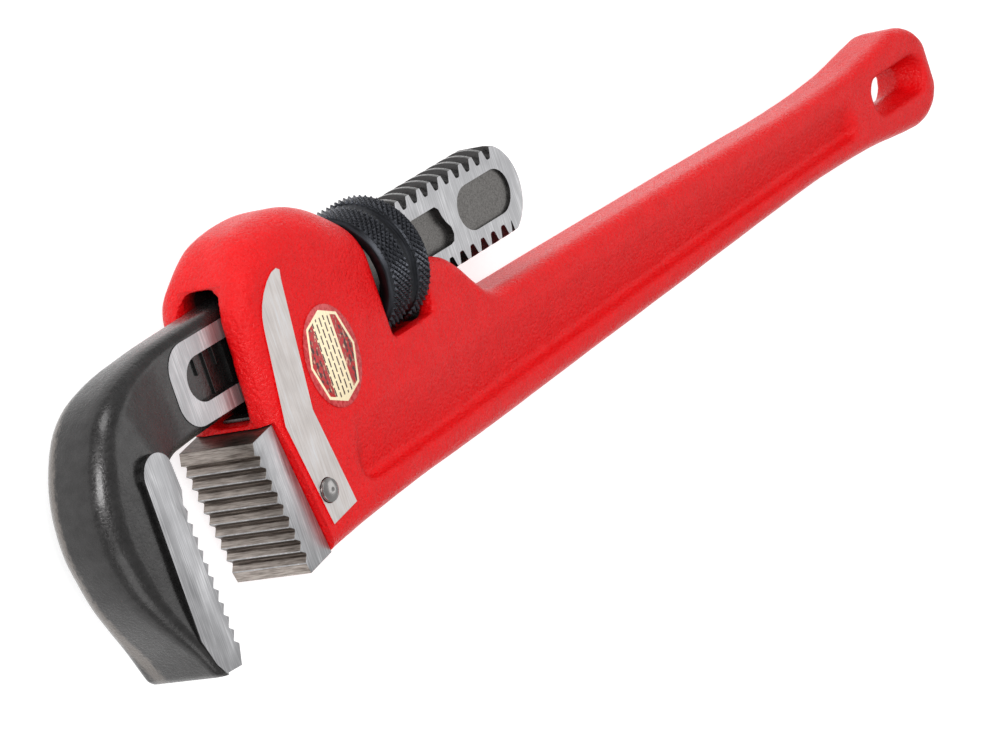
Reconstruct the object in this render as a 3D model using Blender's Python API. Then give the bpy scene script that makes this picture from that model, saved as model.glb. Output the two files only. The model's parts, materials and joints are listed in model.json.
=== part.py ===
"""Straight pipe wrench, 18-inch class, as an assembly of its separate pieces.

Design frame, in millimetres: X runs along the handle away from the jaws, Y across the
jaws towards the hump of the housing, Z through the thickness. The first tooth of the
heel jaw is at X = Y = 0 and Z = 0 is the middle of the thickness. The finished object
lies on its side, with the bottom centre of its box at the world origin.
"""

import math

import bmesh
import bpy
from mathutils import Matrix, Vector

MM = 0.001

# ---- Driving dimensions, in millimetres -----------------------------------------------
HANDLE_END_X = 360.0
HOUSING_HALF = 14.2
LAND_HALF = 14.5
HANDLE_HALF = 8.9
HUMP_TOP_Y = 51.6
SHANK_AXIS_Y = 24.1
SHANK_HALF = 5.76
THREAD_RADIUS = 13.1
THREAD_DEPTH = 2.55
THREAD_PITCH = 5.08
THREAD_PHASE_X = 94.9
SHANK_END_X = 143.5
NUT_RADIUS = 17.75
NUT_LENGTH = 18.4
NUT_CENTRE_X = 73.1
HEEL_HALF = 12.0
HEEL_DEPTH = 8.8
HEEL_PITCH = 3.48
HEEL_TEETH = 9
HEEL_TOOTH_DEPTH = 1.5
HEEL_TOP_Y = 4.0
HEEL_LOW_Y = -32.9
HEEL_TILT = math.radians(8.9)
HOOK_HALF = 10.5
HOOK_LAND_HALF = 12.0
HOOK_BACK_X = -57.3
HOOK_TIP_Y = -42.8
HOOK_TEETH = 11
HOOK_PITCH = 3.52
HOOK_TOOTH_DEPTH = 1.4
HOOK_LEAN = math.radians(2.8)
GAP = 31.0
PIN_RADIUS = 3.1
WEB_RECESS = 3.8
COIL_X = 50.0
LABEL_CENTRE = (35.7, 12.6)

# ---- Clearances, in millimetres -------------------------------------------------------
SLIDE_FIT = 0.85
THREAD_FIT = 0.32
NUT_SIDE_FIT = 0.85
NUT_WINDOW_FIT = 1.1
SEAT_FIT = 0.3
PIN_FIT = 0.2
TONGUE_FIT = 0.3

# ---- Sizes that follow from the ones above --------------------------------------------
SLOT_HALF = SHANK_HALF + SLIDE_FIT
SLOT_FLOOR_Y = SHANK_AXIS_Y - THREAD_RADIUS - 4.6
SLOT_TOP_Y = SHANK_AXIS_Y + THREAD_RADIUS + 3.1
WINDOW_X0 = NUT_CENTRE_X - NUT_LENGTH / 2 - NUT_SIDE_FIT
WINDOW_X1 = NUT_CENTRE_X + NUT_LENGTH / 2 + NUT_SIDE_FIT
WINDOW_FLOOR_Y = SHANK_AXIS_Y - NUT_RADIUS + 0.9
TONGUE_HALF = 5.0
TONGUE_END_X = HEEL_DEPTH + 15.0
PIN_X, PIN_Y = 17.4, -16.3
CENTRE = Vector(
    ((HOOK_BACK_X + HANDLE_END_X) / 2, (HOOK_TIP_Y + HUMP_TOP_Y) / 2, -NUT_RADIUS)
)


# ---- Helpers --------------------------------------------------------------------------
def clear_scene():
    """Removes everything that the start-up file holds."""
    for obj in list(bpy.data.objects):
        bpy.data.objects.remove(obj, do_unlink=True)


def helper_collection():
    """The collection that holds the cutters, out of the render."""
    found = bpy.data.collections.new("Cutters")
    bpy.context.scene.collection.children.link(found)
    found.hide_render = True
    return found


def material(name, colour, metallic, roughness):
    """A plain Principled material for one piece."""
    made = bpy.data.materials.new(name)
    made.use_nodes = True
    shader = made.node_tree.nodes["Principled BSDF"]
    shader.inputs["Base Color"].default_value = (*colour, 1.0)
    shader.inputs["Metallic"].default_value = metallic
    shader.inputs["Roughness"].default_value = roughness
    return made


def finish_mesh(bm, name, origin=Vector((0, 0, 0))):
    """An object from a mesh in the design frame, with its origin on the given point."""
    bmesh.ops.remove_doubles(bm, verts=bm.verts, dist=1e-4)
    bmesh.ops.recalc_face_normals(bm, faces=bm.faces)
    if bm.calc_volume(signed=True) < 0:
        bmesh.ops.reverse_faces(bm, faces=bm.faces)
    bmesh.ops.transform(bm, matrix=Matrix.Translation(-origin), verts=bm.verts)
    bmesh.ops.transform(bm, matrix=Matrix.Scale(MM, 4), verts=bm.verts)
    mesh = bpy.data.meshes.new(name)
    bm.to_mesh(mesh)
    bm.free()
    obj = bpy.data.objects.new(name, mesh)
    obj.location = (origin - CENTRE) * MM
    return obj


def piece(bm, name, look, origin=Vector((0, 0, 0))):
    """A finished sub-part of the wrench."""
    obj = finish_mesh(bm, name, origin)
    bpy.context.scene.collection.objects.link(obj)
    obj.data.materials.append(look)
    return obj


def cutter(bm, name):
    """A helper solid for a Boolean, kept out of the render."""
    obj = finish_mesh(bm, name)
    CUTTERS.objects.link(obj)
    obj.hide_render = True
    obj.display_type = "WIRE"
    return obj


def boolean(obj, other, operation):
    """Adds one exact Boolean to a piece."""
    modifier = obj.modifiers.new(other.name, "BOOLEAN")
    modifier.operation = operation
    modifier.solver = "EXACT"
    modifier.object = other
    modifier.show_viewport = True
    modifier.show_render = True


def loft(loops):
    """A closed solid through loops of equal point counts, its two ends capped."""
    bm = bmesh.new()
    rings = [[bm.verts.new(point) for point in loop] for loop in loops]
    count = len(rings[0])
    for first, second in zip(rings, rings[1:]):
        for i in range(count):
            j = (i + 1) % count
            bm.faces.new((first[i], first[j], second[j], second[i]))
    bm.faces.new(list(reversed(rings[0])))
    bm.faces.new(rings[-1])
    return bm


def prism(outline, z0, z1):
    """A flat outline in X and Y, raised from one height to the other."""
    low = [(x, y, z0) for x, y in outline]
    high = [(x, y, z1) for x, y in outline]
    return loft([low, high])


def box(x0, x1, y0, y1, z0, z1):
    """A plain box."""
    return prism([(x0, y0), (x1, y0), (x1, y1), (x0, y1)], z0, z1)


def arc(cx, cy, radius, start, end, steps):
    """Points along an arc, its angles in degrees."""
    turns = [math.radians(start + (end - start) * i / steps) for i in range(steps + 1)]
    return [(cx + radius * math.cos(a), cy + radius * math.sin(a)) for a in turns]


def rounded_rectangle(u0, u1, v0, v1, radii, steps):
    """A rectangle with a radius at each corner, from the low one, anticlockwise."""
    corners = ((u0, v0, 180), (u1, v0, 270), (u1, v1, 0), (u0, v1, 90))
    points = []
    for (u, v, start), radius in zip(corners, radii):
        cu = u + radius if u == u0 else u - radius
        cv = v + radius if v == v0 else v - radius
        points += arc(cu, cv, radius, start, start + 90, steps)
    return points


def smooth(knots, x):
    """A smooth curve through (x, value) knots, flat past both ends."""
    if x <= knots[0][0]:
        return knots[0][1]
    if x >= knots[-1][0]:
        return knots[-1][1]
    slopes = []
    for i in range(len(knots)):
        a, b = knots[max(i - 1, 0)], knots[min(i + 1, len(knots) - 1)]
        slopes.append((b[1] - a[1]) / (b[0] - a[0]))
    i = max(k for k in range(len(knots)) if knots[k][0] <= x)
    (x0, y0), (x1, y1) = knots[i], knots[i + 1]
    span = x1 - x0
    t = (x - x0) / span
    start = (1 + 2 * t) * (1 - t) ** 2 * y0 + t * (1 - t) ** 2 * slopes[i] * span
    return start + t * t * (3 - 2 * t) * y1 + t * t * (t - 1) * slopes[i + 1] * span


def step(t):
    """A smooth step from 0 to 1."""
    t = min(max(t, 0.0), 1.0)
    return t * t * (3 - 2 * t)


def turned(profile, steps, axis_y):
    """A ring turned about the shank axis from a closed (x, radius) profile."""
    bm = bmesh.new()
    rings = []
    for i in range(steps):
        a = 2 * math.pi * i / steps
        rings.append(
            [
                bm.verts.new((x, axis_y + r * math.cos(a), r * math.sin(a)))
                for x, r in profile
            ]
        )
    count = len(profile)
    for i in range(steps):
        first, second = rings[i], rings[(i + 1) % steps]
        for j in range(count):
            k = (j + 1) % count
            bm.faces.new((first[j], first[k], second[k], second[j]))
    return bm


def screw_thread(outer, inner, crest, root, x0, turns, steps):
    """A right-handed threaded rod about the shank axis, closed at both ends."""
    flank = (THREAD_PITCH - crest - root) / 2
    marks = (0.0, crest, crest + flank, crest + flank + root)
    radii = (outer, outer, inner, inner)
    bm = bmesh.new()
    columns = []
    for i in range(steps):
        a = 2 * math.pi * i / steps
        shift = THREAD_PITCH * i / steps - crest / 2
        column = []
        for turn in range(turns + 1):
            for mark, r in zip(marks, radii):
                x = x0 + turn * THREAD_PITCH + mark + shift
                y = SHANK_AXIS_Y + r * math.cos(a)
                column.append(bm.verts.new((x, y, r * math.sin(a))))
        columns.append(column)
    for i in range(steps):
        # The last column meets the first one a whole pitch, four marks, further on.
        lift = 4 if i == steps - 1 else 0
        first, second = columns[i], columns[(i + 1) % steps]
        for j in range(min(4 * turns, len(second) - 1 - lift)):
            bm.faces.new((first[j], first[j + 1], second[j + 1 + lift], second[j + lift]))
    start = bm.verts.new((x0 - THREAD_PITCH, SHANK_AXIS_Y, 0))
    end = bm.verts.new((x0 + (turns + 2) * THREAD_PITCH, SHANK_AXIS_Y, 0))
    fan(bm, [column[0] for column in columns] + columns[0][4:0:-1], start)
    for edge in [e for e in bm.edges if e.is_boundary]:
        bm.faces.new((edge.verts[0], edge.verts[1], end))
    loose = [v for v in bm.verts if not v.link_faces]
    bmesh.ops.delete(bm, geom=loose, context="VERTS")
    return bm


def fan(bm, ring, apex):
    """Triangles from a closed ring of points to one point."""
    for i, vertex in enumerate(ring):
        bm.faces.new((vertex, ring[(i + 1) % len(ring)], apex))


def thread_start(x):
    """The first thread start at or past x that is in step with THREAD_PHASE_X."""
    return THREAD_PHASE_X + THREAD_PITCH * math.ceil((x - THREAD_PHASE_X) / THREAD_PITCH)


def heel_frame(points):
    """Points given in the heel jaw's own tilted frame, in the design frame."""
    c, s = math.cos(HEEL_TILT), math.sin(HEEL_TILT)
    return [(c * x - s * y, s * x + c * y) for x, y in points]


# ---- The casting: housing and handle --------------------------------------------------
FRONT_X = 3.8
FRONT_ROUND = 5.5
END_HALF = 15.5
END_Y = -12.3
END_START_X = HANDLE_END_X - 17.0

TOP_KNOTS = (
    (FRONT_X, 35.4),
    (6.2, 38.6),
    (9.5, 42.2),
    (15.0, 46.3),
    (22.0, 49.9),
    (29.0, HUMP_TOP_Y - 0.3),
    (36.0, HUMP_TOP_Y),
    (43.0, HUMP_TOP_Y - 0.6),
    (50.0, 48.8),
    (57.0, 45.0),
    (64.0, 39.8),
    (76.0, 29.0),
    (84.0, 23.4),
    (92.0, 20.2),
    (97.0, 18.2),
    (101.0, 15.0),
    (105.0, 10.2),
    (109.0, 5.9),
    (114.0, 3.0),
    (122.0, 2.0),
    (150.0, 1.6),
    (200.0, 0.6),
    (250.0, -0.5),
    (277.0, -1.2),
    (300.0, -1.0),
    (318.0, 0.0),
    (331.0, 1.7),
    (END_START_X, END_Y + END_HALF),
)
BOTTOM_KNOTS = (
    (FRONT_X, -32.3),
    (14.0, -31.0),
    (25.0, -30.0),
    (40.0, -29.1),
    (60.0, -28.6),
    (110.0, -28.9),
    (150.0, -28.0),
    (200.0, -26.6),
    (250.0, -25.1),
    (280.0, -24.4),
    (300.0, -24.7),
    (318.0, -25.5),
    (331.0, -26.9),
    (END_START_X, END_Y - END_HALF),
)
HALF_KNOTS = (
    (FRONT_X, HOUSING_HALF),
    (47.0, HOUSING_HALF),
    (58.0, HOUSING_HALF - 0.6),
    (72.0, HOUSING_HALF - 1.2),
    (86.0, HOUSING_HALF - 2.2),
    (105.0, HANDLE_HALF + 1.6),
    (120.0, HANDLE_HALF + 0.7),
    (150.0, HANDLE_HALF + 0.2),
    (200.0, HANDLE_HALF),
    (300.0, HANDLE_HALF - 0.3),
    (335.0, HANDLE_HALF),
    (346.0, HANDLE_HALF),
)
TOP_RADIUS_KNOTS = (
    (FRONT_X, 3.0),
    (12.0, 7.5),
    (20.0, 10.0),
    (45.0, 10.5),
    (62.0, 12.6),
    (74.0, 11.0),
    (88.0, 6.0),
    (105.0, 4.5),
    (120.0, 4.0),
    (300.0, 3.6),
)


def casting_section(x):
    """The outline of the casting across the handle at one station."""
    end = min(max((x - END_START_X) / (HANDLE_END_X - END_START_X), 0.0), 1.0)
    tight = max(math.sqrt(1 - end * end), 0.06)
    if end > 0:
        top, bottom = END_Y + END_HALF * tight, END_Y - END_HALF * tight
    else:
        top, bottom = smooth(TOP_KNOTS, x), smooth(BOTTOM_KNOTS, x)
    half = smooth(HALF_KNOTS, x) * (1 - 0.62 * step((end - 0.75) / 0.25))
    front = min(max((x - FRONT_X) / FRONT_ROUND, 0.0), 1.0)
    half = SLOT_HALF + 1.0 + (half - SLOT_HALF - 1.0) * math.sqrt(1 - (1 - front) ** 2)
    round_top = min(smooth(TOP_RADIUS_KNOTS, x), half - 0.4, (top - bottom) / 2 - 0.05)
    round_low = min(3.8, half - 0.4, (top - bottom) / 2 - 0.05)
    radii = (round_low, round_top, round_top, round_low)
    section = rounded_rectangle(bottom, top, -half, half, radii, 4)
    lean = 5.0 * (1 - step((x - FRONT_X) / 22.0))
    return [(x + lean * step((y - 14.0) / 25.0), y, z) for y, z in section]


def web_pocket(side):
    """The long recess that leaves the handle an I-beam, on one face."""
    x0, x1, draft = 32.0, 308.0, 1.5
    edge_top = ((40.0, -4.0), (80.0, -5.2), (150.0, -6.4), (200.0, -7.0), (300.0, -7.6))
    edge_low = (
        (50.0, -21.6),
        (110.0, -22.2),
        (150.0, -21.6),
        (250.0, -19.8),
        (300.0, -19.4),
    )
    stations = [x0 + d for d in (0.0, 0.7, 2.0, 4.0, 6.5, 9.0)]
    stations += [50.0, 62.0, 75.0, 90.0, 105.0, 120.0, 150.0, 200.0, 250.0, 285.0]
    stations += [x1 - d for d in (9.0, 5.2, 3.4, 1.8, 0.6, 0.0)]
    loops = []
    for x in stations:
        corner = 7.5 if x < 100.0 else 5.2
        reach = min(x - x0, x1 - x, corner)
        inset = corner - math.sqrt(corner**2 - (corner - reach) ** 2)
        top = smooth(edge_top, x) - inset * 0.9
        low = smooth(edge_low, x) + inset * 0.9
        face = smooth(HALF_KNOTS, x)
        floor = face - WEB_RECESS * step((reach + 0.6) / 5.5)
        run = draft * step(reach / 4.0)
        low_in, top_in = low + run, top - run
        loops.append(
            [
                (x, low - 0.6, side * (face + 2.0)),
                (x, low, side * face),
                (x, low_in, side * floor),
                (x, top_in, side * floor),
                (x, top, side * face),
                (x, top + 0.6, side * (face + 2.0)),
            ]
        )
    return loft(loops)


def eye_slot():
    """The hanging eye, drafted from both faces to a smaller slot in the middle."""
    loops = []
    drafts = (
        (-12.0, -0.6),
        (-HANDLE_HALF, 0.0),
        (0.0, 2.6),
        (HANDLE_HALF, 0.0),
        (12.0, -0.6),
    )
    for z, inset in drafts:
        radius = 6.3 - inset
        left = arc(326.0, END_Y - 0.3, radius, 90, 270, 8)
        right = arc(346.0, END_Y - 0.3, radius, -90, 90, 8)
        loops.append([(x, y, z) for x, y in left + right])
    return loft(loops)


def make_casting(look):
    """The housing and handle, one casting with ground strips on both faces."""
    stations = [FRONT_X + FRONT_ROUND * t for t in (0.0, 0.08, 0.25, 0.5, 0.75, 1.0)]
    stations += [11.5, 15.0, 19.0, 24.0, 30.0, 36.0, 42.0, 48.0, 53.0, 57.0, 61.0, 66.0]
    stations += [71.0, 76.0, 82.0, 87.0, 92.0, 96.0, 99.5, 103.0, 106.0, 109.0, 112.5]
    stations += [117.0, 123.0, 135.0, 160.0, 190.0, 220.0, 250.0, 270.0, 285.0, 300.0]
    stations += [312.0, 324.0, 334.0]
    span = HANDLE_END_X - END_START_X
    stations += [END_START_X + span * t for t in (0.0, 0.3, 0.55, 0.75, 0.88, 0.96, 1.0)]
    casting = piece(loft([casting_section(x) for x in stations]), "housing_handle", look)

    strip = [(15.3, -24.6), (26.3, -22.9), (21.7, 3.6), (27.0, 39.0), (25.6, 39.6)]
    strip += [(22.0, 38.4), (18.0, 35.4), (15.6, 32.0), (14.4, 28.6), (9.9, 3.6)]
    boolean(casting, cutter(prism(strip, -LAND_HALF, LAND_HALF), "land_strips"), "UNION")

    slot = [
        (-10.0, SLOT_FLOOR_Y),
        (130.0, SLOT_FLOOR_Y),
        (130.0, 70.0),
        (WINDOW_X0 + 2.0, 70.0),
        (WINDOW_X0 + 2.0, SLOT_TOP_Y - 1.4),
        (14.0, SLOT_TOP_Y),
        (-10.0, SLOT_TOP_Y),
    ]
    boolean(casting, cutter(prism(slot, -SLOT_HALF, SLOT_HALF), "shank_slot"), "DIFFERENCE")
    window = box(WINDOW_X0, WINDOW_X1, WINDOW_FLOOR_Y, 70.0, -20.0, 20.0)
    boolean(casting, cutter(window, "nut_window"), "DIFFERENCE")
    reach = NUT_RADIUS + NUT_WINDOW_FIT
    ring = [(WINDOW_X0, 0.5), (WINDOW_X1, 0.5), (WINDOW_X1, reach), (WINDOW_X0, reach)]
    bore = turned(ring, 40, SHANK_AXIS_Y)
    boolean(casting, cutter(bore, "nut_bore"), "DIFFERENCE")

    seat_x, seat_y = HEEL_DEPTH + SEAT_FIT, HEEL_TOP_Y + SEAT_FIT
    seat = heel_frame([(-20.0, -60.0), (seat_x, -60.0), (seat_x, seat_y), (-20.0, seat_y)])
    boolean(casting, cutter(prism(seat, -20.0, 20.0), "heel_seat"), "DIFFERENCE")
    groove = heel_frame(
        [
            (0.0, -27.0 - TONGUE_FIT),
            (TONGUE_END_X + TONGUE_FIT, -27.0 - TONGUE_FIT),
            (TONGUE_END_X + TONGUE_FIT, -4.0 + TONGUE_FIT),
            (0.0, -4.0 + TONGUE_FIT),
        ]
    )
    half = TONGUE_HALF + TONGUE_FIT
    boolean(casting, cutter(prism(groove, -half, half), "tongue_groove"), "DIFFERENCE")
    hole = prism(arc(PIN_X, PIN_Y, PIN_RADIUS + PIN_FIT, 0, 345, 23), -20.0, 20.0)
    boolean(casting, cutter(hole, "pin_hole"), "DIFFERENCE")
    boolean(casting, cutter(web_pocket(1), "web_pocket_upper"), "DIFFERENCE")
    boolean(casting, cutter(web_pocket(-1), "web_pocket_lower"), "DIFFERENCE")
    boolean(casting, cutter(eye_slot(), "eye"), "DIFFERENCE")

    well = vertical_rod(COIL_X, SLOT_FLOOR_Y - 11.5, SLOT_FLOOR_Y + 2.0, 4.7, 24)
    boolean(casting, cutter(well, "coil_well"), "DIFFERENCE")
    rivet_hole = vertical_rod(RIVET_X, SLOT_FLOOR_Y - 5.0, SLOT_FLOOR_Y + 2.0, 1.75, 16)
    boolean(casting, cutter(rivet_hole, "rivet_hole"), "DIFFERENCE")
    return casting


# ---- Heel jaw and its pin -------------------------------------------------------------
def make_heel_jaw(look):
    """The toothed insert, with the tongue that the pin holds in the housing."""
    outline = [(HEEL_DEPTH, HEEL_LOW_Y), (0.3 - HEEL_TOOTH_DEPTH, HEEL_LOW_Y)]
    for i in reversed(range(HEEL_TEETH)):
        root = -i * HEEL_PITCH
        outline += [(-HEEL_TOOTH_DEPTH, root - 0.62 * HEEL_PITCH), (0.0, root)]
    outline += [(-1.6, 1.1), (-0.2, HEEL_TOP_Y), (HEEL_DEPTH, HEEL_TOP_Y)]
    heel = piece(prism(heel_frame(outline), -HEEL_HALF, HEEL_HALF), "heel_jaw", look)
    tongue = heel_frame(
        [(5.0, -27.0), (TONGUE_END_X, -27.0), (TONGUE_END_X, -4.0), (5.0, -4.0)]
    )
    boolean(heel, cutter(prism(tongue, -TONGUE_HALF, TONGUE_HALF), "heel_tongue"), "UNION")
    hole = prism(arc(PIN_X, PIN_Y, PIN_RADIUS + PIN_FIT, 0, 345, 23), -20.0, 20.0)
    boolean(heel, cutter(hole, "heel_pin_hole"), "DIFFERENCE")
    return heel


def make_pin(look):
    """The heel jaw's pin, upset to a shallow dome at each end."""
    loops = []
    for side in (-1, 1):
        rings = []
        for t in (0.0, 0.35, 0.65, 0.88, 1.0):
            a = t * math.pi / 2
            radius = max(PIN_RADIUS * math.cos(a), 0.25)
            z = side * (LAND_HALF + 0.1 + 1.3 * math.sin(a))
            rings.append([(x, y, z) for x, y in arc(PIN_X, PIN_Y, radius, 0, 345, 23)])
        loops += rings if side > 0 else list(reversed(rings))
    return piece(loft(loops), "heel_jaw_pin", look)


# ---- Hook jaw -------------------------------------------------------------------------
HOOK_PAIRS = (
    # outer x, outer y, inner x, inner y, half thickness, edge radius
    (34.0, 36.9, 34.0, 11.3, SHANK_HALF, 3.2),
    (10.0, 36.6, 10.0, 10.8, SHANK_HALF, 3.2),
    (-10.0, 36.3, -14.0, 10.1, SHANK_HALF, 3.2),
    (-20.0, 35.8, -20.0, 9.9, 6.0, 3.3),
    (-27.0, 34.9, -24.0, 9.6, 6.7, 3.6),
    (-34.0, 33.7, -27.0, 9.0, 7.8, 4.1),
    (-41.0, 31.2, -29.6, 7.8, 9.2, 4.6),
    (-47.7, 26.3, -32.0, 5.6, 10.1, 5.1),
    (-53.3, 17.7, -34.0, 2.2, HOOK_HALF, 5.4),
    (-56.4, 9.0, -34.6, -2.0, HOOK_HALF, 5.6),
    (HOOK_BACK_X, -0.6, -34.6, -7.0, HOOK_HALF, 5.6),
    (-56.1, -8.2, -34.6, -12.8, HOOK_HALF, 5.6),
    (-53.8, -15.8, -34.6, -18.8, HOOK_HALF, 5.4),
    (-50.1, -23.1, -34.6, -25.0, HOOK_HALF, 5.0),
    (-46.3, -28.7, -34.6, -30.2, HOOK_HALF, 4.8),
    (-43.0, -33.6, -34.6, -34.8, HOOK_HALF - 0.1, 4.4),
    (-40.4, -38.0, -34.4, -39.2, HOOK_HALF - 0.8, 3.6),
    (-38.6, -41.2, -34.0, HOOK_TIP_Y, 6.4, 2.4),
)


def hook_loops():
    """Rounded sections from the neck round the bend and down to the tip."""
    loops = []
    for ox, oy, ix, iy, half, radius in HOOK_PAIRS:
        length = math.hypot(ox - ix, oy - iy)
        ux, uy = (ox - ix) / length, (oy - iy) / length
        r = min(radius, half - 0.2, length / 2 - 0.1)
        section = rounded_rectangle(0.0, length, -half, half, (1.6, r, r, 1.6), 4)
        loops.append([(ix + ux * s, iy + uy * s, z) for s, z in section])
    return loops


def hook_land():
    """The ground tooth land, round at the top, with its teeth facing the heel jaw."""
    left, right = -GAP - 10.7, -GAP + 0.2
    outline = [(-GAP, -41.9), (-37.6, -41.5), (-39.9, -38.4), (left, -31.0), (left, 10.4)]
    outline += [(left + 0.8, 13.0), (left + 2.6, 14.6), (left + 4.9, 15.1), (-34.4, 14.7)]
    outline += [(-32.2, 13.0), (right - 0.2, 10.8), (right, 8.8), (right + 0.3, 3.6)]
    outline += [(-GAP - 0.8, 0.25)]
    dx, dy = HOOK_PITCH * math.sin(HOOK_LEAN), -HOOK_PITCH * math.cos(HOOK_LEAN)
    for i in range(HOOK_TEETH):
        x, y = -GAP + i * dx, -1.7 + i * dy
        outline.append((x, y))
        if i < HOOK_TEETH - 1:
            outline.append((x - HOOK_TOOTH_DEPTH, y + 0.64 * dy))
    return prism(outline, -HOOK_LAND_HALF, HOOK_LAND_HALF)


def make_hook_jaw(look):
    """The forged hook jaw: head, neck and threaded shank in one piece."""
    start = thread_start(30.0)
    turns = int((SHANK_END_X + 6.0 - start) / THREAD_PITCH) + 1
    inner = THREAD_RADIUS - THREAD_DEPTH
    start -= 2 * THREAD_PITCH
    rod = screw_thread(THREAD_RADIUS, inner, 1.75, 1.75, start, turns + 2, 40)
    origin = Vector((0.0, SHANK_AXIS_Y, 0.0))
    hook = piece(rod, "hook_jaw", look, origin)
    end_radius = THREAD_RADIUS + 0.05
    end_x = SHANK_END_X - end_radius
    low_y, high_y = SHANK_AXIS_Y - end_radius, SHANK_AXIS_Y + end_radius
    slab = [(33.0, low_y), (end_x, low_y)]
    slab += arc(end_x, SHANK_AXIS_Y, end_radius, -84, 84, 14)
    slab += [(end_x, high_y), (33.0, high_y)]
    boolean(hook, cutter(prism(slab, -SHANK_HALF, SHANK_HALF), "shank_slab"), "INTERSECT")
    boolean(hook, cutter(loft(hook_loops()), "hook_head"), "UNION")
    boolean(hook, cutter(hook_land(), "hook_land"), "UNION")
    for side in (-1, 1):
        low, high = sorted((side * (SHANK_HALF - 2.0), side * 9.0))
        scale = arc(-3.1, 22.8, 5.9, 90, 270, 8) + [(32.0, 16.9), (32.0, 28.7)]
        recess = cutter(prism(scale, low, high), f"scale_recess_{side + 2}")
        boolean(hook, recess, "DIFFERENCE")
        panel = rounded_rectangle(62.0, 109.4, 18.2, 29.4, (2.0, 2.0, 2.0, 2.0), 3)
        recess = cutter(prism(panel, low, high), f"panel_recess_{side + 2}")
        boolean(hook, recess, "DIFFERENCE")
        low, high = sorted((side * (SHANK_HALF - 0.9), side * 9.0))
        oval = arc(119.8, 24.1, 6.2, 90, 270, 8) + arc(132.2, 24.1, 6.2, -90, 90, 8)
        recess = cutter(prism(oval, low, high), f"oval_recess_{side + 2}")
        boolean(hook, recess, "DIFFERENCE")
    return hook


# ---- Adjusting nut --------------------------------------------------------------------
def make_nut(look):
    """The adjusting nut: two bands with a groove between, threaded right through."""
    x0, x1 = NUT_CENTRE_X - NUT_LENGTH / 2, NUT_CENTRE_X + NUT_LENGTH / 2
    bore = THREAD_RADIUS - THREAD_DEPTH + 0.6
    mouth = THREAD_RADIUS + THREAD_FIT + 0.4
    groove = NUT_RADIUS - 1.3
    profile = [
        (x0, NUT_RADIUS - 1.6),
        (x0 + 1.0, NUT_RADIUS - 0.4),
        (x0 + 1.6, NUT_RADIUS),
        (x0 + 8.6, NUT_RADIUS),
        (x0 + 9.1, groove + 0.5),
        (x0 + 9.9, groove),
        (x0 + 10.9, groove),
        (x0 + 11.7, groove + 0.5),
        (x0 + 12.2, NUT_RADIUS),
        (x1 - 1.2, NUT_RADIUS),
        (x1, NUT_RADIUS - 1.2),
        (x1, mouth),
        (x1 - 1.4, bore),
        (x0 + 1.4, bore),
        (x0, mouth),
    ]
    axis = Vector((NUT_CENTRE_X, SHANK_AXIS_Y, 0.0))
    nut = piece(turned(profile, 60, SHANK_AXIS_Y), "adjusting_nut", look, axis)
    outer = THREAD_RADIUS + THREAD_FIT
    inner = THREAD_RADIUS - THREAD_DEPTH + 0.3
    crest, root = 1.75 + 2 * THREAD_FIT, 1.75 - THREAD_FIT
    rod = screw_thread(outer, inner, crest, root, thread_start(x0 - 12.0), 8, 40)
    boolean(nut, cutter(rod, "nut_thread"), "DIFFERENCE")
    return nut


# ---- Springs and small pieces ---------------------------------------------------------
RIVET_X = 15.0
LEAF_THICKNESS = 0.8


def vertical_rod(x, y0, y1, radius, steps):
    """A rod along Y, standing in the middle of the thickness."""
    circle = arc(0.0, 0.0, radius, 0, 360 - 360 / steps, steps - 1)
    return loft([[(x + u, y, v) for u, v in circle] for y in (y0, y1)])


def make_flat_spring(look):
    """The leaf spring, riveted to the floor of the slot and bowed up to the shank."""
    base = SLOT_FLOOR_Y + 0.25
    rise = SHANK_AXIS_Y - THREAD_RADIUS - 0.35 - LEAF_THICKNESS - base
    low, high = [], []
    for i in range(17):
        t = i / 16
        x = RIVET_X - 5.0 + 29.0 * t
        y = base + rise * step((t - 0.3) / 0.55) - 0.5 * step((t - 0.88) / 0.12)
        low.append((x, y))
        high.append((x, y + LEAF_THICKNESS))
    outline = low + list(reversed(high))
    leaf = piece(prism(outline, -4.4, 4.4), "flat_spring", look)
    hole = vertical_rod(RIVET_X, base - 3.0, base + 3.0, 1.75, 16)
    boolean(leaf, cutter(hole, "leaf_hole"), "DIFFERENCE")
    return leaf


def make_rivet(look):
    """The rivet that holds the leaf spring down."""
    base = SLOT_FLOOR_Y + 0.25 + LEAF_THICKNESS + 0.15
    loops = []
    sizes = ((-5.8, 1.5), (0.0, 1.5), (0.0, 2.9), (0.25, 2.7), (0.45, 2.0), (0.55, 0.9))
    for lift, radius in sizes:
        circle = arc(0.0, 0.0, radius, 0, 337.5, 15)
        loops.append([(RIVET_X + u, base + lift, v) for u, v in circle])
    return piece(loft(loops), "flat_spring_rivet", look)


def make_coil_spring(look):
    """The coil spring in its well under the shank."""
    bottom = SLOT_FLOOR_Y - 11.5 + 1.0
    top = SHANK_AXIS_Y - THREAD_RADIUS - 1.0
    turns, radius, wire = 6, 3.3, 0.55
    curve = bpy.data.curves.new("coil_spring", "CURVE")
    curve.dimensions = "3D"
    curve.bevel_depth = wire * MM
    curve.bevel_resolution = 2
    curve.use_fill_caps = True
    spline = curve.splines.new("POLY")
    count = turns * 14 + 1
    spline.points.add(count - 1)
    for i, point in enumerate(spline.points):
        t = i / (count - 1)
        a = 2 * math.pi * turns * t
        y = bottom + (top - bottom) * t
        place = Vector((radius * math.cos(a), y, radius * math.sin(a)))
        point.co = (*(place * MM), 1.0)
    obj = bpy.data.objects.new("coil_spring", curve)
    obj.location = (Vector((COIL_X, 0.0, 0.0)) - CENTRE) * MM
    bpy.context.scene.collection.objects.link(obj)
    curve.materials.append(look)
    return obj


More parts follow.
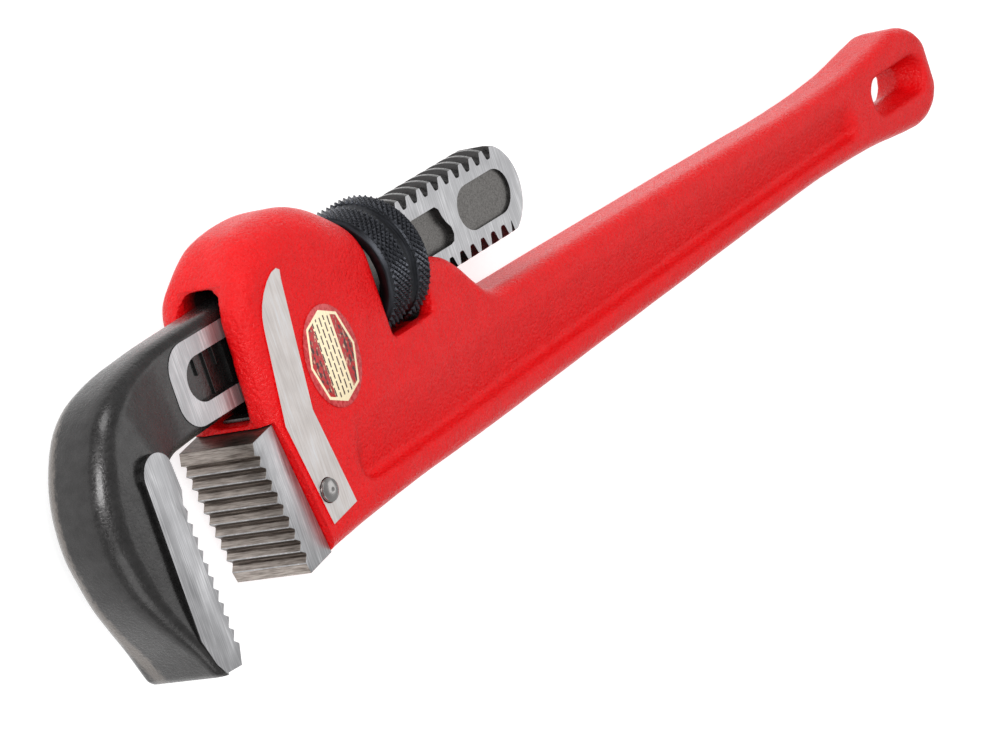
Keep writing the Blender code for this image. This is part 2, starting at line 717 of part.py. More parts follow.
def make_label(look):
    """The oval decal on the upper face of the housing."""
    cx, cy = LABEL_CENTRE
    outline = [(cx + 10.8 * u, cy + 13.3 * v) for u, v in arc(0.0, 0.0, 1.0, 0, 352.5, 47)]
    return piece(prism(outline, HOUSING_HALF + 0.1, HOUSING_HALF + 0.3), "label", look)


def make_all():
    """Every piece of the wrench."""
    paint = material("red_paint", (0.62, 0.02, 0.025), 0.0, 0.45)
    forged = material("black_oxide_forging", (0.04, 0.04, 0.042), 0.8, 0.45)
    knurled = material("black_oxide_nut", (0.03, 0.03, 0.035), 0.8, 0.5)
    jaw_steel = material("ground_jaw_steel", (0.42, 0.41, 0.4), 1.0, 0.4)
    bright = material("bright_steel", (0.6, 0.6, 0.6), 1.0, 0.3)
    spring = material("spring_steel", (0.3, 0.3, 0.32), 1.0, 0.35)
    film = material("label_film", (0.85, 0.78, 0.62), 0.0, 0.4)
    pieces = [
        make_casting(paint),
        make_heel_jaw(jaw_steel),
        make_pin(bright),
        make_hook_jaw(forged),
        make_nut(knurled),
        make_flat_spring(spring),
        make_rivet(bright),
        make_coil_spring(spring),
        make_label(film),
    ]
    for obj in pieces:
        if obj.name in ("heel_jaw_pin", "adjusting_nut", "flat_spring_rivet"):
            for polygon in obj.data.polygons:
                polygon.use_smooth = True


clear_scene()
CUTTERS = helper_collection()
make_all()
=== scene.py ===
"""Straight pipe wrench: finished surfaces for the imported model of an 18-inch tool.

Every size below is in millimetres in the design frame: X runs along the handle away from
the jaws, Y across the jaws towards the hump of the housing, Z through the thickness, and
the first tooth of the heel jaw is at X = Y = 0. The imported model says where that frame
lies in the scene, and every finished mesh is in metres in the scene's own frame.
"""

from __future__ import annotations

import json
import logging
import math
from collections.abc import Callable, Sequence
from dataclasses import dataclass, field
from enum import Enum

import bmesh
import bpy
import numpy as np
from mathutils import Matrix, Vector

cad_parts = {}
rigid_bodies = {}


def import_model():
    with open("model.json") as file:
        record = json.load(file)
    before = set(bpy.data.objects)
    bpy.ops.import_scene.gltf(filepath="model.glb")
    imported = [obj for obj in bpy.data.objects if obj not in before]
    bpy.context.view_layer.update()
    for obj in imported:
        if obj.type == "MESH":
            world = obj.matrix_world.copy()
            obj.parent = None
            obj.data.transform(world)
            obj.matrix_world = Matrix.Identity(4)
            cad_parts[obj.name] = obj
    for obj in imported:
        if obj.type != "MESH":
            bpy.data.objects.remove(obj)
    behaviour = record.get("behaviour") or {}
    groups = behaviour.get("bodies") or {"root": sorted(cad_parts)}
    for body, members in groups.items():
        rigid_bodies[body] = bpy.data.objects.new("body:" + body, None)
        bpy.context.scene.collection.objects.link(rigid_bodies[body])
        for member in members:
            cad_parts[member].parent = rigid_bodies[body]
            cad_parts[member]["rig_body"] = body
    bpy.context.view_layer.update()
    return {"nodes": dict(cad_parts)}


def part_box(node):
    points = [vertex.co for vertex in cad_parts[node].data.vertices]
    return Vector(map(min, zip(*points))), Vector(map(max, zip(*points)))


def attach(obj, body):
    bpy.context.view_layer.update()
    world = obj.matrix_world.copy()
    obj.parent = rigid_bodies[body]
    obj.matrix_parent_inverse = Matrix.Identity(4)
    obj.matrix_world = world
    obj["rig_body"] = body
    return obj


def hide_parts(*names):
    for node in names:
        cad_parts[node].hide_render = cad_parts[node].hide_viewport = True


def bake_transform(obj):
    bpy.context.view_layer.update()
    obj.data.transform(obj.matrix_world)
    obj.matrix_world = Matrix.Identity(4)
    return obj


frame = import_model()
LOG = logging.getLogger("pipe_wrench")

MM = 0.001
AXIS_X, AXIS_Y = 73.1, 24.1
Point2 = tuple[float, float]
Point3 = tuple[float, float, float]
Knots = tuple[Point2, ...]


def frame_origin() -> Vector:
    """Where the design frame's origin lies, from the nut, whose middle is on both axes.

    Returns:
        The offset from scene millimetres to design millimetres.
    """
    low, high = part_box("adjusting_nut")
    middle = (Vector(low) + Vector(high)) / (2 * MM)
    return middle - Vector((AXIS_X, AXIS_Y, 0.0))


ORIGIN = frame_origin()


def place(x: float, y: float, z: float) -> Vector:
    """A point of the design frame, in the scene's metres."""
    return (Vector((x, y, z)) + ORIGIN) * MM


def srgb(code: str) -> tuple[float, float, float, float]:
    """A colour for a shader from its sRGB hex code.

    Args:
        code: six hex digits with a leading #.

    Returns:
        Linear red, green and blue, with alpha 1.
    """
    parts = [int(code[i : i + 2], 16) / 255 for i in (1, 3, 5)]
    linear = [c / 12.92 if c <= 0.04045 else ((c + 0.055) / 1.055) ** 2.4 for c in parts]
    return (*linear, 1.0)


# ---- Curves and outlines ----------------------------------------------------------------
def smooth(knots: Knots, x: float) -> float:
    """A smooth curve through (x, value) knots, flat past both ends.

    Args:
        knots: the points that the curve passes through, in order of x.
        x: where it is read.

    Returns:
        The curve's value there.
    """
    if x <= knots[0][0]:
        return knots[0][1]
    if x >= knots[-1][0]:
        return knots[-1][1]
    slopes = []
    for i in range(len(knots)):
        a, b = knots[max(i - 1, 0)], knots[min(i + 1, len(knots) - 1)]
        slopes.append((b[1] - a[1]) / (b[0] - a[0]))
    i = max(k for k in range(len(knots)) if knots[k][0] <= x)
    (x0, y0), (x1, y1) = knots[i], knots[i + 1]
    span = x1 - x0
    t = (x - x0) / span
    start = (1 + 2 * t) * (1 - t) ** 2 * y0 + t * (1 - t) ** 2 * slopes[i] * span
    return start + t * t * (3 - 2 * t) * y1 + t * t * (t - 1) * slopes[i + 1] * span


def ease(t: float) -> float:
    """A smooth step from 0 to 1 as t goes from 0 to 1."""
    t = min(max(t, 0.0), 1.0)
    return t * t * (3 - 2 * t)


def arc(cx: float, cy: float, radius: float, start: float, end: float, steps: int) -> list[Point2]:
    """Points along an arc.

    Args:
        cx: middle of the arc, first axis.
        cy: middle of the arc, second axis.
        radius: its radius.
        start: first angle, in degrees.
        end: last angle, in degrees.
        steps: how many chords it has.

    Returns:
        steps + 1 points.
    """
    turns = [math.radians(start + (end - start) * i / steps) for i in range(steps + 1)]
    return [(cx + radius * math.cos(a), cy + radius * math.sin(a)) for a in turns]


def rounded(
    u0: float, u1: float, v0: float, v1: float, radii: Sequence[float], steps: int
) -> list[Point2]:
    """A rectangle with a radius at each corner, from the low one, anticlockwise."""
    corners = ((u0, v0, 180), (u1, v0, 270), (u1, v1, 0), (u0, v1, 90))
    points: list[Point2] = []
    for (u, v, start), radius in zip(corners, radii):
        cu = u + radius if u == u0 else u - radius
        cv = v + radius if v == v0 else v - radius
        points += arc(cu, cv, radius, start, start + 90, steps)
    return points


def spline(rows: Sequence[Sequence[float]], per_span: int) -> list[list[float]]:
    """Rows of numbers joined by a smooth curve through them.

    Args:
        rows: equally long rows, in order.
        per_span: how many rows each span becomes.

    Returns:
        The given rows with the new ones between them.
    """
    made: list[list[float]] = []
    last = len(rows) - 1
    for i in range(last):
        a, b = np.array(rows[max(i - 1, 0)]), np.array(rows[i])
        c, d = np.array(rows[i + 1]), np.array(rows[min(i + 2, last)])
        for k in range(per_span):
            t = k / per_span
            bend = (2 * a - 5 * b + 4 * c - d) * t * t + (3 * b - a - 3 * c + d) * t**3
            made.append(list(0.5 * (2 * b + (c - a) * t + bend)))
    made.append(list(rows[-1]))
    return made


# ---- Modelling --------------------------------------------------------------------------
class Cut(Enum):
    """How one solid changes another."""

    REMOVE = "DIFFERENCE"
    ADD = "UNION"
    KEEP_COMMON = "INTERSECT"


Pick = Callable[[bmesh.types.BMVert | bmesh.types.BMEdge | bmesh.types.BMFace], bool]


class Bench:
    """Blender's modelling tools, each used on one mesh at a time."""

    @staticmethod
    def take(obj: bpy.types.Object) -> None:
        """Makes obj the only selected object, and the active one."""
        if bpy.context.object and bpy.context.object.mode != "OBJECT":
            bpy.ops.object.mode_set(mode="OBJECT")
        bpy.ops.object.select_all(action="DESELECT")
        obj.select_set(True)
        bpy.context.view_layer.objects.active = obj

    @staticmethod
    def open(obj: bpy.types.Object, kind: str = "FACE", pick: Pick | None = None) -> None:
        """Enters edit mode with only the wanted elements selected.

        Args:
            obj: the mesh object.
            kind: VERT, EDGE or FACE.
            pick: says which elements are selected; with none given, all are.
        """
        Bench.take(obj)
        bpy.ops.object.mode_set(mode="EDIT")
        bpy.ops.mesh.select_mode(type=kind)
        if pick is None:
            bpy.ops.mesh.select_all(action="SELECT")
            return
        bpy.ops.mesh.select_all(action="DESELECT")
        mesh = bmesh.from_edit_mesh(obj.data)
        for element in {"VERT": mesh.verts, "EDGE": mesh.edges, "FACE": mesh.faces}[kind]:
            if pick(element):
                element.select_set(True)
        mesh.select_flush_mode()
        bmesh.update_edit_mesh(obj.data)

    @staticmethod
    def close() -> None:
        """Goes back to object mode."""
        bpy.ops.object.mode_set(mode="OBJECT")

    @staticmethod
    def outward(obj: bpy.types.Object) -> None:
        """Merges doubles, then turns every face outwards."""
        Bench.open(obj)
        bpy.ops.mesh.remove_doubles(threshold=1e-6)
        bpy.ops.mesh.normals_make_consistent(inside=False)
        Bench.close()

    @staticmethod
    def settle(obj: bpy.types.Object, name: str, points: Sequence[Vector]) -> bpy.types.Object:
        """Names a new primitive and puts its points in place."""
        obj.name = obj.data.name = name
        flat = np.array([tuple(p) for p in points], np.float32).reshape(-1)
        obj.data.vertices.foreach_set("co", flat)
        obj.data.update()
        return obj

    @staticmethod
    def plate(name: str, outline: Sequence[Point2], low: float, high: float) -> bpy.types.Object:
        """A flat outline, filled, put in place and extruded through the thickness.

        Args:
            name: the object's name.
            outline: X and Y of its corners.
            low: Z of its lower face.
            high: Z of its upper face.

        Returns:
            The closed solid.
        """
        bpy.ops.mesh.primitive_circle_add(vertices=len(outline), fill_type="NGON")
        obj = Bench.settle(bpy.context.object, name, [place(x, y, low) for x, y in outline])
        Bench.open(obj)
        rise = (0.0, 0.0, (high - low) * MM)
        bpy.ops.mesh.extrude_region_move(TRANSFORM_OT_translate={"value": rise})
        bpy.ops.mesh.select_all(action="SELECT")
        bpy.ops.mesh.normals_make_consistent(inside=False)
        Bench.close()
        return obj

    @staticmethod
    def loft(name: str, rings: Sequence[Sequence[Point3]]) -> bpy.types.Object:
        """A closed body through rings of points, from a cylinder cut into as many rings.

        Args:
            name: the object's name.
            rings: equally long rings of design-frame points.

        Returns:
            The closed solid.
        """
        sides, count = len(rings[0]), len(rings)
        bpy.ops.mesh.primitive_cylinder_add(vertices=sides, radius=1.0, depth=2.0)
        obj = bpy.context.object
        Bench.open(obj, "EDGE", lambda e: abs(e.verts[0].co.z - e.verts[1].co.z) > 1.0)
        bpy.ops.mesh.subdivide(number_cuts=count - 2)
        Bench.close()
        points = []
        for vertex in obj.data.vertices:
            ring = round((vertex.co.z + 1.0) / 2.0 * (count - 1))
            turn = math.atan2(vertex.co.y, vertex.co.x) / (2 * math.pi)
            points.append(place(*rings[ring][round(turn * sides) % sides]))
        Bench.settle(obj, name, points)
        Bench.outward(obj)
        return obj

    @staticmethod
    def spun(
        name: str, profile: Sequence[Point2], steps: int, middle: Point2, along: str = "X"
    ) -> bpy.types.Object:
        """A closed profile spun right round a line.

        Args:
            name: the object's name.
            profile: (place along the line, radius) of each corner.
            steps: how many chords a turn has.
            middle: where the line is, in the two other axes.
            along: the axis that the line runs along, X or Z.

        Returns:
            The closed ring or rod.
        """
        bpy.ops.mesh.primitive_circle_add(vertices=len(profile))
        if along == "X":
            points = [place(s, middle[0] + r, middle[1]) for s, r in profile]
            centre, axis = place(0.0, middle[0], middle[1]), (1.0, 0.0, 0.0)
        else:
            points = [place(middle[0] + r, middle[1], s) for s, r in profile]
            centre, axis = place(middle[0], middle[1], 0.0), (0.0, 0.0, 1.0)
        obj = Bench.settle(bpy.context.object, name, points)
        Bench.open(obj)
        bpy.ops.mesh.spin(steps=steps, angle=2 * math.pi, center=centre, axis=axis)
        Bench.close()
        Bench.outward(obj)
        return obj

    @staticmethod
    def rod(name: str, x: float, low: float, high: float, radius: float) -> bpy.types.Object:
        """A rod along Y, standing in the middle of the thickness.

        Args:
            name: the object's name.
            x: where it stands.
            low: Y of its lower end.
            high: Y of its upper end.
            radius: its radius, in millimetres.

        Returns:
            The closed rod.
        """
        circle = arc(0.0, 0.0, radius, 0, 352.5, 47)
        levels = (low, (low + high) / 2, high)
        return Bench.loft(name, [[(x + u, y, v) for u, v in circle] for y in levels])

    @staticmethod
    def combine(obj: bpy.types.Object, tool: bpy.types.Object, how: Cut) -> None:
        """Cuts or joins obj with a tool solid, which is used up."""
        before, tool_name = (len(obj.data.polygons), len(obj.data.vertices)), tool.name
        cut = obj.modifiers.new("tool", "BOOLEAN")
        cut.operation = how.value
        cut.solver = "MANIFOLD"
        cut.object = tool
        Bench.apply(obj, cut)
        bpy.data.objects.remove(tool)
        if (len(obj.data.polygons), len(obj.data.vertices)) == before:
            LOG.warning("%s was not changed by %s", obj.name, tool_name)

    @staticmethod
    def apply(obj: bpy.types.Object, modifier: bpy.types.Modifier) -> None:
        """Applies one modifier."""
        Bench.take(obj)
        bpy.ops.object.modifier_apply(modifier=modifier.name)

    @staticmethod
    def bevel(obj: bpy.types.Object, width: float, segments: int = 2, angle: float = 35.0) -> None:
        """Breaks the sharp edges of obj.

        Args:
            obj: the mesh object.
            width: how wide, in millimetres.
            segments: how many faces round the edge.
            angle: only edges sharper than this, in degrees, are broken.
        """
        edge = obj.modifiers.new("edge", "BEVEL")
        edge.width = width * MM
        edge.segments = segments
        edge.limit_method = "ANGLE"
        edge.angle_limit = math.radians(angle)
        edge.use_clamp_overlap = True
        Bench.apply(obj, edge)

    @staticmethod
    def cast(obj: bpy.types.Object, voxel: float, passes: int, faces: float) -> None:
        """Gives a body a casting's soft edges: an even skin, relaxed, then thinned.

        Args:
            obj: the mesh object.
            voxel: size of the skin's squares, in millimetres.
            passes: how often the skin is relaxed.
            faces: share of the faces that is kept.
        """
        skin = obj.modifiers.new("skin", "REMESH")
        skin.mode = "VOXEL"
        skin.voxel_size = voxel * MM
        Bench.apply(obj, skin)
        relax = obj.modifiers.new("relax", "SMOOTH")
        relax.factor = 0.5
        relax.iterations = passes
        Bench.apply(obj, relax)
        thin = obj.modifiers.new("thin", "DECIMATE")
        thin.ratio = faces
        Bench.apply(obj, thin)

    @staticmethod
    def join(obj: bpy.types.Object, others: Sequence[bpy.types.Object]) -> None:
        """Joins other meshes into obj."""
        Bench.take(obj)
        for other in others:
            other.select_set(True)
        bpy.ops.object.join()

    @staticmethod
    def shade(obj: bpy.types.Object, angle: float) -> None:
        """Smooth shading, with edges over the angle, in degrees, kept sharp."""
        Bench.take(obj)
        bpy.ops.object.shade_smooth_by_angle(angle=math.radians(angle))

    @staticmethod
    def dress(
        obj: bpy.types.Object,
        finishes: Sequence[bpy.types.Material],
        choose: Callable[[np.ndarray, np.ndarray], np.ndarray] | None = None,
    ) -> None:
        """Gives obj its materials, and each face the one that its place and normal call for.

        Args:
            obj: the mesh object.
            finishes: the materials, in the order that choose numbers them.
            choose: takes face middles, in design millimetres, and normals, as rows, and
                returns a material number for each face. With none, all faces take the first.
        """
        obj.data.materials.clear()
        for finish in finishes:
            obj.data.materials.append(finish)
        count = len(obj.data.polygons)
        index = np.zeros(count, np.int32)
        if choose is not None:
            middles = np.empty(count * 3, np.float32)
            normals = np.empty(count * 3, np.float32)
            obj.data.polygons.foreach_get("center", middles)
            obj.data.polygons.foreach_get("normal", normals)
            at = middles.reshape(-1, 3) / MM - np.array(ORIGIN)
            index = choose(at, normals.reshape(-1, 3)).astype(np.int32)
        obj.data.polygons.foreach_set("material_index", index)
        obj.data.update()

    @staticmethod
    def hand_in(
        obj: bpy.types.Object, node: str, slot: str, bends: tuple[Point3, Point3] | None = None
    ) -> None:
        """Lets a finished piece stand for its CAD node, on the same body unless bends are given.

        Args:
            obj: the finished piece.
            node: the CAD node that it stands for.
            slot: the record's material slot; not used.
            bends: for a spring, where it is held by the housing and where it starts to
                follow the node's own body. With them given, the piece is only baked in place, not put on
                a body.
        """
        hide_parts(node)
        body = frame["nodes"][node]["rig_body"]
        if bends is None:
            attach(obj, body)
        else:
            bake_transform(obj)
        LOG.info("%s: %d faces", obj.name, len(obj.data.polygons))


# ---- Finishes ---------------------------------------------------------------------------
def add_node(
    tree: bpy.types.NodeTree,
    kind: str,
    settings: dict[str | int, object] | None = None,
    links: dict[str | int, bpy.types.NodeSocket] | None = None,
) -> bpy.types.Node:
    """Adds one shader node.

    Args:
        tree: the material's node tree.
        kind: the node's type.
        settings: values for its sockets, by name or number, or for its properties.
        links: the sockets that feed its inputs, by name or number.

    Returns:
        The node.
    """
    node = tree.nodes.new(kind)
    for key, value in (settings or {}).items():
        if isinstance(key, int) or key in node.inputs:
            node.inputs[key].default_value = value
        else:
            setattr(node, key, value)
    for key, source in (links or {}).items():
        tree.links.new(source, node.inputs[key])
    return node


def new_material(name: str) -> tuple[bpy.types.Material, bpy.types.NodeTree, bpy.types.Node]:
    """A material with only its output and its Principled shader.

    Args:
        name: the material's name.

    Returns:
        The material, its node tree and the shader.
    """
    material = bpy.data.materials.new(name)
    material.use_nodes = True
    tree = material.node_tree
    return material, tree, tree.nodes["Principled BSDF"]


def grain(tree: bpy.types.NodeTree, size: Point3, detail: float = 3.0) -> bpy.types.NodeSocket:
    """Noise whose spots have a real size.

    Args:
        tree: the material's node tree.
        size: how long a spot is along X, Y and Z, in millimetres.
        detail: how many finer layers lie on it.

    Returns:
        The socket with the noise, about 0.5 on average.
    """
    where = add_node(tree, "ShaderNodeTexCoord")
    scale = tuple(1.0 / (s * MM) for s in size)
    spread = add_node(
        tree, "ShaderNodeMapping", {"Scale": scale}, {"Vector": where.outputs["Object"]}
    )
    noise = add_node(
        tree,
        "ShaderNodeTexNoise",
        {"Scale": 1.0, "Detail": detail, "Roughness": 0.55},
        {"Vector": spread.outputs["Vector"]},
    )
    return noise.outputs["Fac"]


def ramp(
    tree: bpy.types.NodeTree, source: bpy.types.NodeSocket, stops: Sequence[tuple[float, str]]
) -> bpy.types.NodeSocket:
    """Colours for a number, by stops.

    Args:
        tree: the material's node tree.
        source: the number.
        stops: (place, sRGB hex) of each stop, in order.

    Returns:
        The colour socket.
    """
    node = add_node(tree, "ShaderNodeValToRGB", {}, {"Fac": source})
    elements = node.color_ramp.elements
    while len(elements) < len(stops):
        elements.new(0.5)
    for element, (position, code) in zip(elements, stops):
        element.position = position
        element.color = srgb(code)
    return node.outputs["Color"]


def span(
    tree: bpy.types.NodeTree, source: bpy.types.NodeSocket, low: float, high: float,
    start: float = 0.3, end: float = 0.7,
) -> bpy.types.NodeSocket:
    """Stretches a number from one range to another.

    Args:
        tree: the material's node tree.
        source: the number.
        low: what start becomes.
        high: what end becomes.
        start: low end of the source.
        end: high end of the source.

    Returns:
        The stretched number.
    """
    values = {"From Min": start, "From Max": end, "To Min": low, "To Max": high}
    node = add_node(tree, "ShaderNodeMapRange", values, {"Value": source})
    return node.outputs["Result"]


def raise_bumps(
    tree: bpy.types.NodeTree,
    shader: bpy.types.Node,
    layers: Sequence[tuple[bpy.types.NodeSocket, float, float]],
) -> None:
    """Stacks bump layers onto a shader.

    Args:
        tree: the material's node tree.
        shader: the shader that takes the normal.
        layers: (height, strength, depth in millimetres) of each layer.
    """
    below = None
    for height, strength, depth in layers:
        links = {"Height": height}
        if below is not None:
            links["Normal"] = below
        node = add_node(
            tree, "ShaderNodeBump", {"Strength": strength, "Distance": depth * MM}, links
        )
        below = node.outputs["Normal"]
    tree.links.new(below, shader.inputs["Normal"])


@dataclass(frozen=True)
class RedEnamel:
    """Alkyd enamel sprayed over sand-cast ductile iron: the sand's grain shows through as a
    fine pebbled gloss, with slow waves where the paint flowed."""

    colour: str = "#D5070D"
    deep: str = "#CE060B"
    sand_mm: float = 0.9
    flow_mm: float = 5.0

    def build(self) -> bpy.types.Material:
        """Returns the material."""
        material, tree, shader = new_material("red_enamel_on_cast_iron")
        sand = grain(tree, (self.sand_mm,) * 3, 4.0)
        flow = grain(tree, (self.flow_mm,) * 3, 2.0)
        colour = ramp(tree, flow, [(0.35, self.deep), (0.65, self.colour)])
        # Near-black painted shade (#1B0F0E) mixed over the paint deep inside the slot.
        slot_shade_mix = add_node(
            tree, "ShaderNodeMix", {"data_type": "RGBA"}, {"Factor": self.slot_painted_shade(tree)}
        )
        tree.links.new(colour, slot_shade_mix.inputs[6])
        slot_shade_mix.inputs[7].default_value = srgb("#1B0F0E")
        tree.links.new(slot_shade_mix.outputs[2], shader.inputs["Base Color"])
        tree.links.new(span(tree, sand, 0.22, 0.4), shader.inputs["Roughness"])
        shader.inputs["IOR"].default_value = 1.5
        shader.inputs["Specular IOR Level"].default_value = 0.22
        raise_bumps(tree, shader, [(flow, 0.15, 0.3), (sand, 1.0, 0.55)])
        return material

    def slot_painted_shade(self, tree: bpy.types.NodeTree) -> bpy.types.NodeSocket:
        """How much painted shade covers the paint: all of it deep inside the slot, standing for the
        shadow there.

        Args:
            tree: the material's node tree.

        Returns:
            0 on paint, 1 on the near-black painted shade.
        """
        where = add_node(tree, "ShaderNodeTexCoord")
        axes = add_node(tree, "ShaderNodeSeparateXYZ", {}, {0: where.outputs["Object"]})
        front, corner = place(11.5, 6.0, 7.1), place(17.0, 40.9, 0.0)
        middle = add_node(
            tree, "ShaderNodeMath", {"operation": "SUBTRACT", 1: corner.z}, {0: axes.outputs["Z"]}
        )
        apart = add_node(tree, "ShaderNodeMath", {"operation": "ABSOLUTE"}, {0: middle.outputs[0]})
        half = front.z - corner.z
        shares = [
            span(tree, axes.outputs["X"], 0.0, 1.0, front.x, corner.x),
            span(tree, apart.outputs[0], 1.0, 0.0, half - 0.2 * MM, half),
            span(tree, axes.outputs["Y"], 0.0, 1.0, front.y - 0.2 * MM, front.y),
            span(tree, axes.outputs["Y"], 1.0, 0.0, corner.y - 0.2 * MM, corner.y),
        ]
        result = shares[0]
        for share in shares[1:]:
            both = add_node(
                tree, "ShaderNodeMath", {"operation": "MULTIPLY"}, {0: result, 1: share}
            )
            result = both.outputs[0]
        return result


@dataclass(frozen=True)
class GroundMetal:
    """Bare iron or steel straight off a surface grinder: pale, with fine parallel scratches
    along Y and a slow cloudiness between passes."""

    name: str
    pale: str = "#AFAFB1"
    dark: str = "#949496"
    scratch_mm: float = 0.28
    length_mm: float = 14.0
    rough: float = 0.38

    def build(self) -> bpy.types.Material:
        """Returns the material."""
        material, tree, shader = new_material(self.name)
        scratch = grain(tree, (self.scratch_mm, self.length_mm, 1.0), 3.0)
        cloud = grain(tree, (5.0, 9.0, 5.0), 2.0)
        mixed = add_node(
            tree, "ShaderNodeMath", {"operation": "MULTIPLY_ADD", 1: 0.45}, {0: cloud, 2: scratch}
        )
        stops = [(0.5, self.dark), (0.78, self.pale), (1.0, "#D6D6D8")]
        colour = ramp(tree, mixed.outputs[0], stops)
        tree.links.new(colour, shader.inputs["Base Color"])
        tree.links.new(
            span(tree, scratch, self.rough - 0.07, self.rough + 0.1), shader.inputs["Roughness"]
        )
        shader.inputs["Metallic"].default_value = 0.85
        raise_bumps(tree, shader, [(scratch, 0.35, 0.03)])
        return material


@dataclass(frozen=True)
class BlackForging:
    """Drop-forged steel under black oxide: a satin graphite skin, slightly pocked by scale."""

    pale: str = "#383737"
    dark: str = "#2C2B2B"
    worn: str = "#7F7771"
    parting: float = 6.6
    pock_mm: float = 0.8

    def build(self) -> bpy.types.Material:
        """Returns the material."""
        material, tree, shader = new_material("black_oxide_forging")
        pocks = grain(tree, (self.pock_mm,) * 3, 4.0)
        cloud = grain(tree, (3.2, 3.2, 3.2), 3.0)
        colour = ramp(tree, cloud, [(0.3, self.dark), (0.7, self.pale)])
        rubbed = self.rubbed(tree)
        blend = add_node(tree, "ShaderNodeMix", {"data_type": "RGBA"}, {"Factor": rubbed})
        tree.links.new(colour, blend.inputs[6])
        blend.inputs[7].default_value = srgb(self.worn)
        tree.links.new(blend.outputs[2], shader.inputs["Base Color"])
        tree.links.new(span(tree, pocks, 0.2, 0.4), shader.inputs["Roughness"])
        shader.inputs["Metallic"].default_value = 0.85
        shader.inputs["Coat Weight"].default_value = 0.4
        shader.inputs["Coat Roughness"].default_value = 0.18
        raise_bumps(tree, shader, [(cloud, 0.25, 0.25), (pocks, 0.8, 0.17)])
        return material

    def rubbed(self, tree: bpy.types.NodeTree) -> bpy.types.NodeSocket:
        """Where the oxide has rubbed off: a ragged band along the middle of the outer edge.

        Args:
            tree: the material's node tree.

        Returns:
            0 on sound oxide, up to 1 on bare steel.
        """
        where = add_node(tree, "ShaderNodeTexCoord")
        axes = add_node(tree, "ShaderNodeSeparateXYZ", {}, {0: where.outputs["Object"]})
        middle = place(0.0, 0.0, 0.0)
        height = add_node(
            tree,
            "ShaderNodeMath",
            {"operation": "SUBTRACT", 1: middle.z - self.parting * MM},
            {0: axes.outputs["Z"]},
        )
        apart = add_node(tree, "ShaderNodeMath", {"operation": "ABSOLUTE"}, {0: height.outputs[0]})
        ragged = grain(tree, (1.6, 1.6, 0.9), 5.0)
        edge = add_node(
            tree,
            "ShaderNodeMath",
            {"operation": "MULTIPLY_ADD", 1: 4.0 * MM},
            {0: ragged, 2: apart.outputs[0]},
        )
        band = span(tree, edge.outputs[0], 0.62, 0.0, 3.2 * MM, 4.6 * MM)
        outer = span(tree, axes.outputs["X"], 1.0, 0.0, place(-44.0, 0, 0).x, place(-30.0, 0, 0).x)
        shared = add_node(
            tree, "ShaderNodeMath", {"operation": "MULTIPLY"}, {0: band, 1: outer}
        )
        return shared.outputs[0]


@dataclass(frozen=True)
class HardenedSteel:
    """Broached and hardened tool steel: brown-grey, drawn out in streaks along the teeth."""

    name: str = "hardened_jaw_steel"
    pale: str = "#B2A9A2"
    dark: str = "#6C635D"

    def build(self) -> bpy.types.Material:
        """Returns the material."""
        material, tree, shader = new_material(self.name)
        streak = grain(tree, (0.5, 0.35, 5.0), 4.0)
        grit = grain(tree, (0.6, 0.6, 0.6), 3.0)
        colour = ramp(tree, streak, [(0.3, self.dark), (0.62, self.pale)])
        tree.links.new(colour, shader.inputs["Base Color"])
        tree.links.new(span(tree, grit, 0.32, 0.5), shader.inputs["Roughness"])
        shader.inputs["Metallic"].default_value = 0.9
        raise_bumps(tree, shader, [(streak, 0.4, 0.08), (grit, 0.3, 0.05)])
        return material


@dataclass(frozen=True)
class BlackOxideSteel:
    """Turned and knurled steel under black oxide: blue-black, brighter where turned."""

    name: str
    colour: str = "#1D1E21"
    edge: str = "#34363B"
    rough: float = 0.36

    def build(self) -> bpy.types.Material:
        """Returns the material."""
        material, tree, shader = new_material(self.name)
        turned = grain(tree, (0.22, 6.0, 6.0), 2.0)
        colour = ramp(tree, turned, [(0.35, self.colour), (0.7, self.edge)])
        tree.links.new(colour, shader.inputs["Base Color"])
        tree.links.new(
            span(tree, turned, self.rough - 0.05, self.rough + 0.08), shader.inputs["Roughness"]
        )
        shader.inputs["Metallic"].default_value = 0.9
        raise_bumps(tree, shader, [(turned, 0.25, 0.03)])
        return material


@dataclass(frozen=True)
class PlainSteel:
    """Bright drawn or tempered steel wire, strip or rod, with faint handling marks."""

    name: str
    pale: str = "#A9A8A6"
    dark: str = "#6B6A69"
    rough: float = 0.26
    marks_mm: float = 0.4

    def build(self) -> bpy.types.Material:
        """Returns the material."""
        material, tree, shader = new_material(self.name)
        marks = grain(tree, (self.marks_mm,) * 3, 4.0)
        colour = ramp(tree, marks, [(0.35, self.dark), (0.65, self.pale)])
        tree.links.new(colour, shader.inputs["Base Color"])
        tree.links.new(span(tree, marks, self.rough, self.rough + 0.14), shader.inputs["Roughness"])
        shader.inputs["Metallic"].default_value = 1.0
        raise_bumps(tree, shader, [(marks, 0.2, 0.04)])
        return material


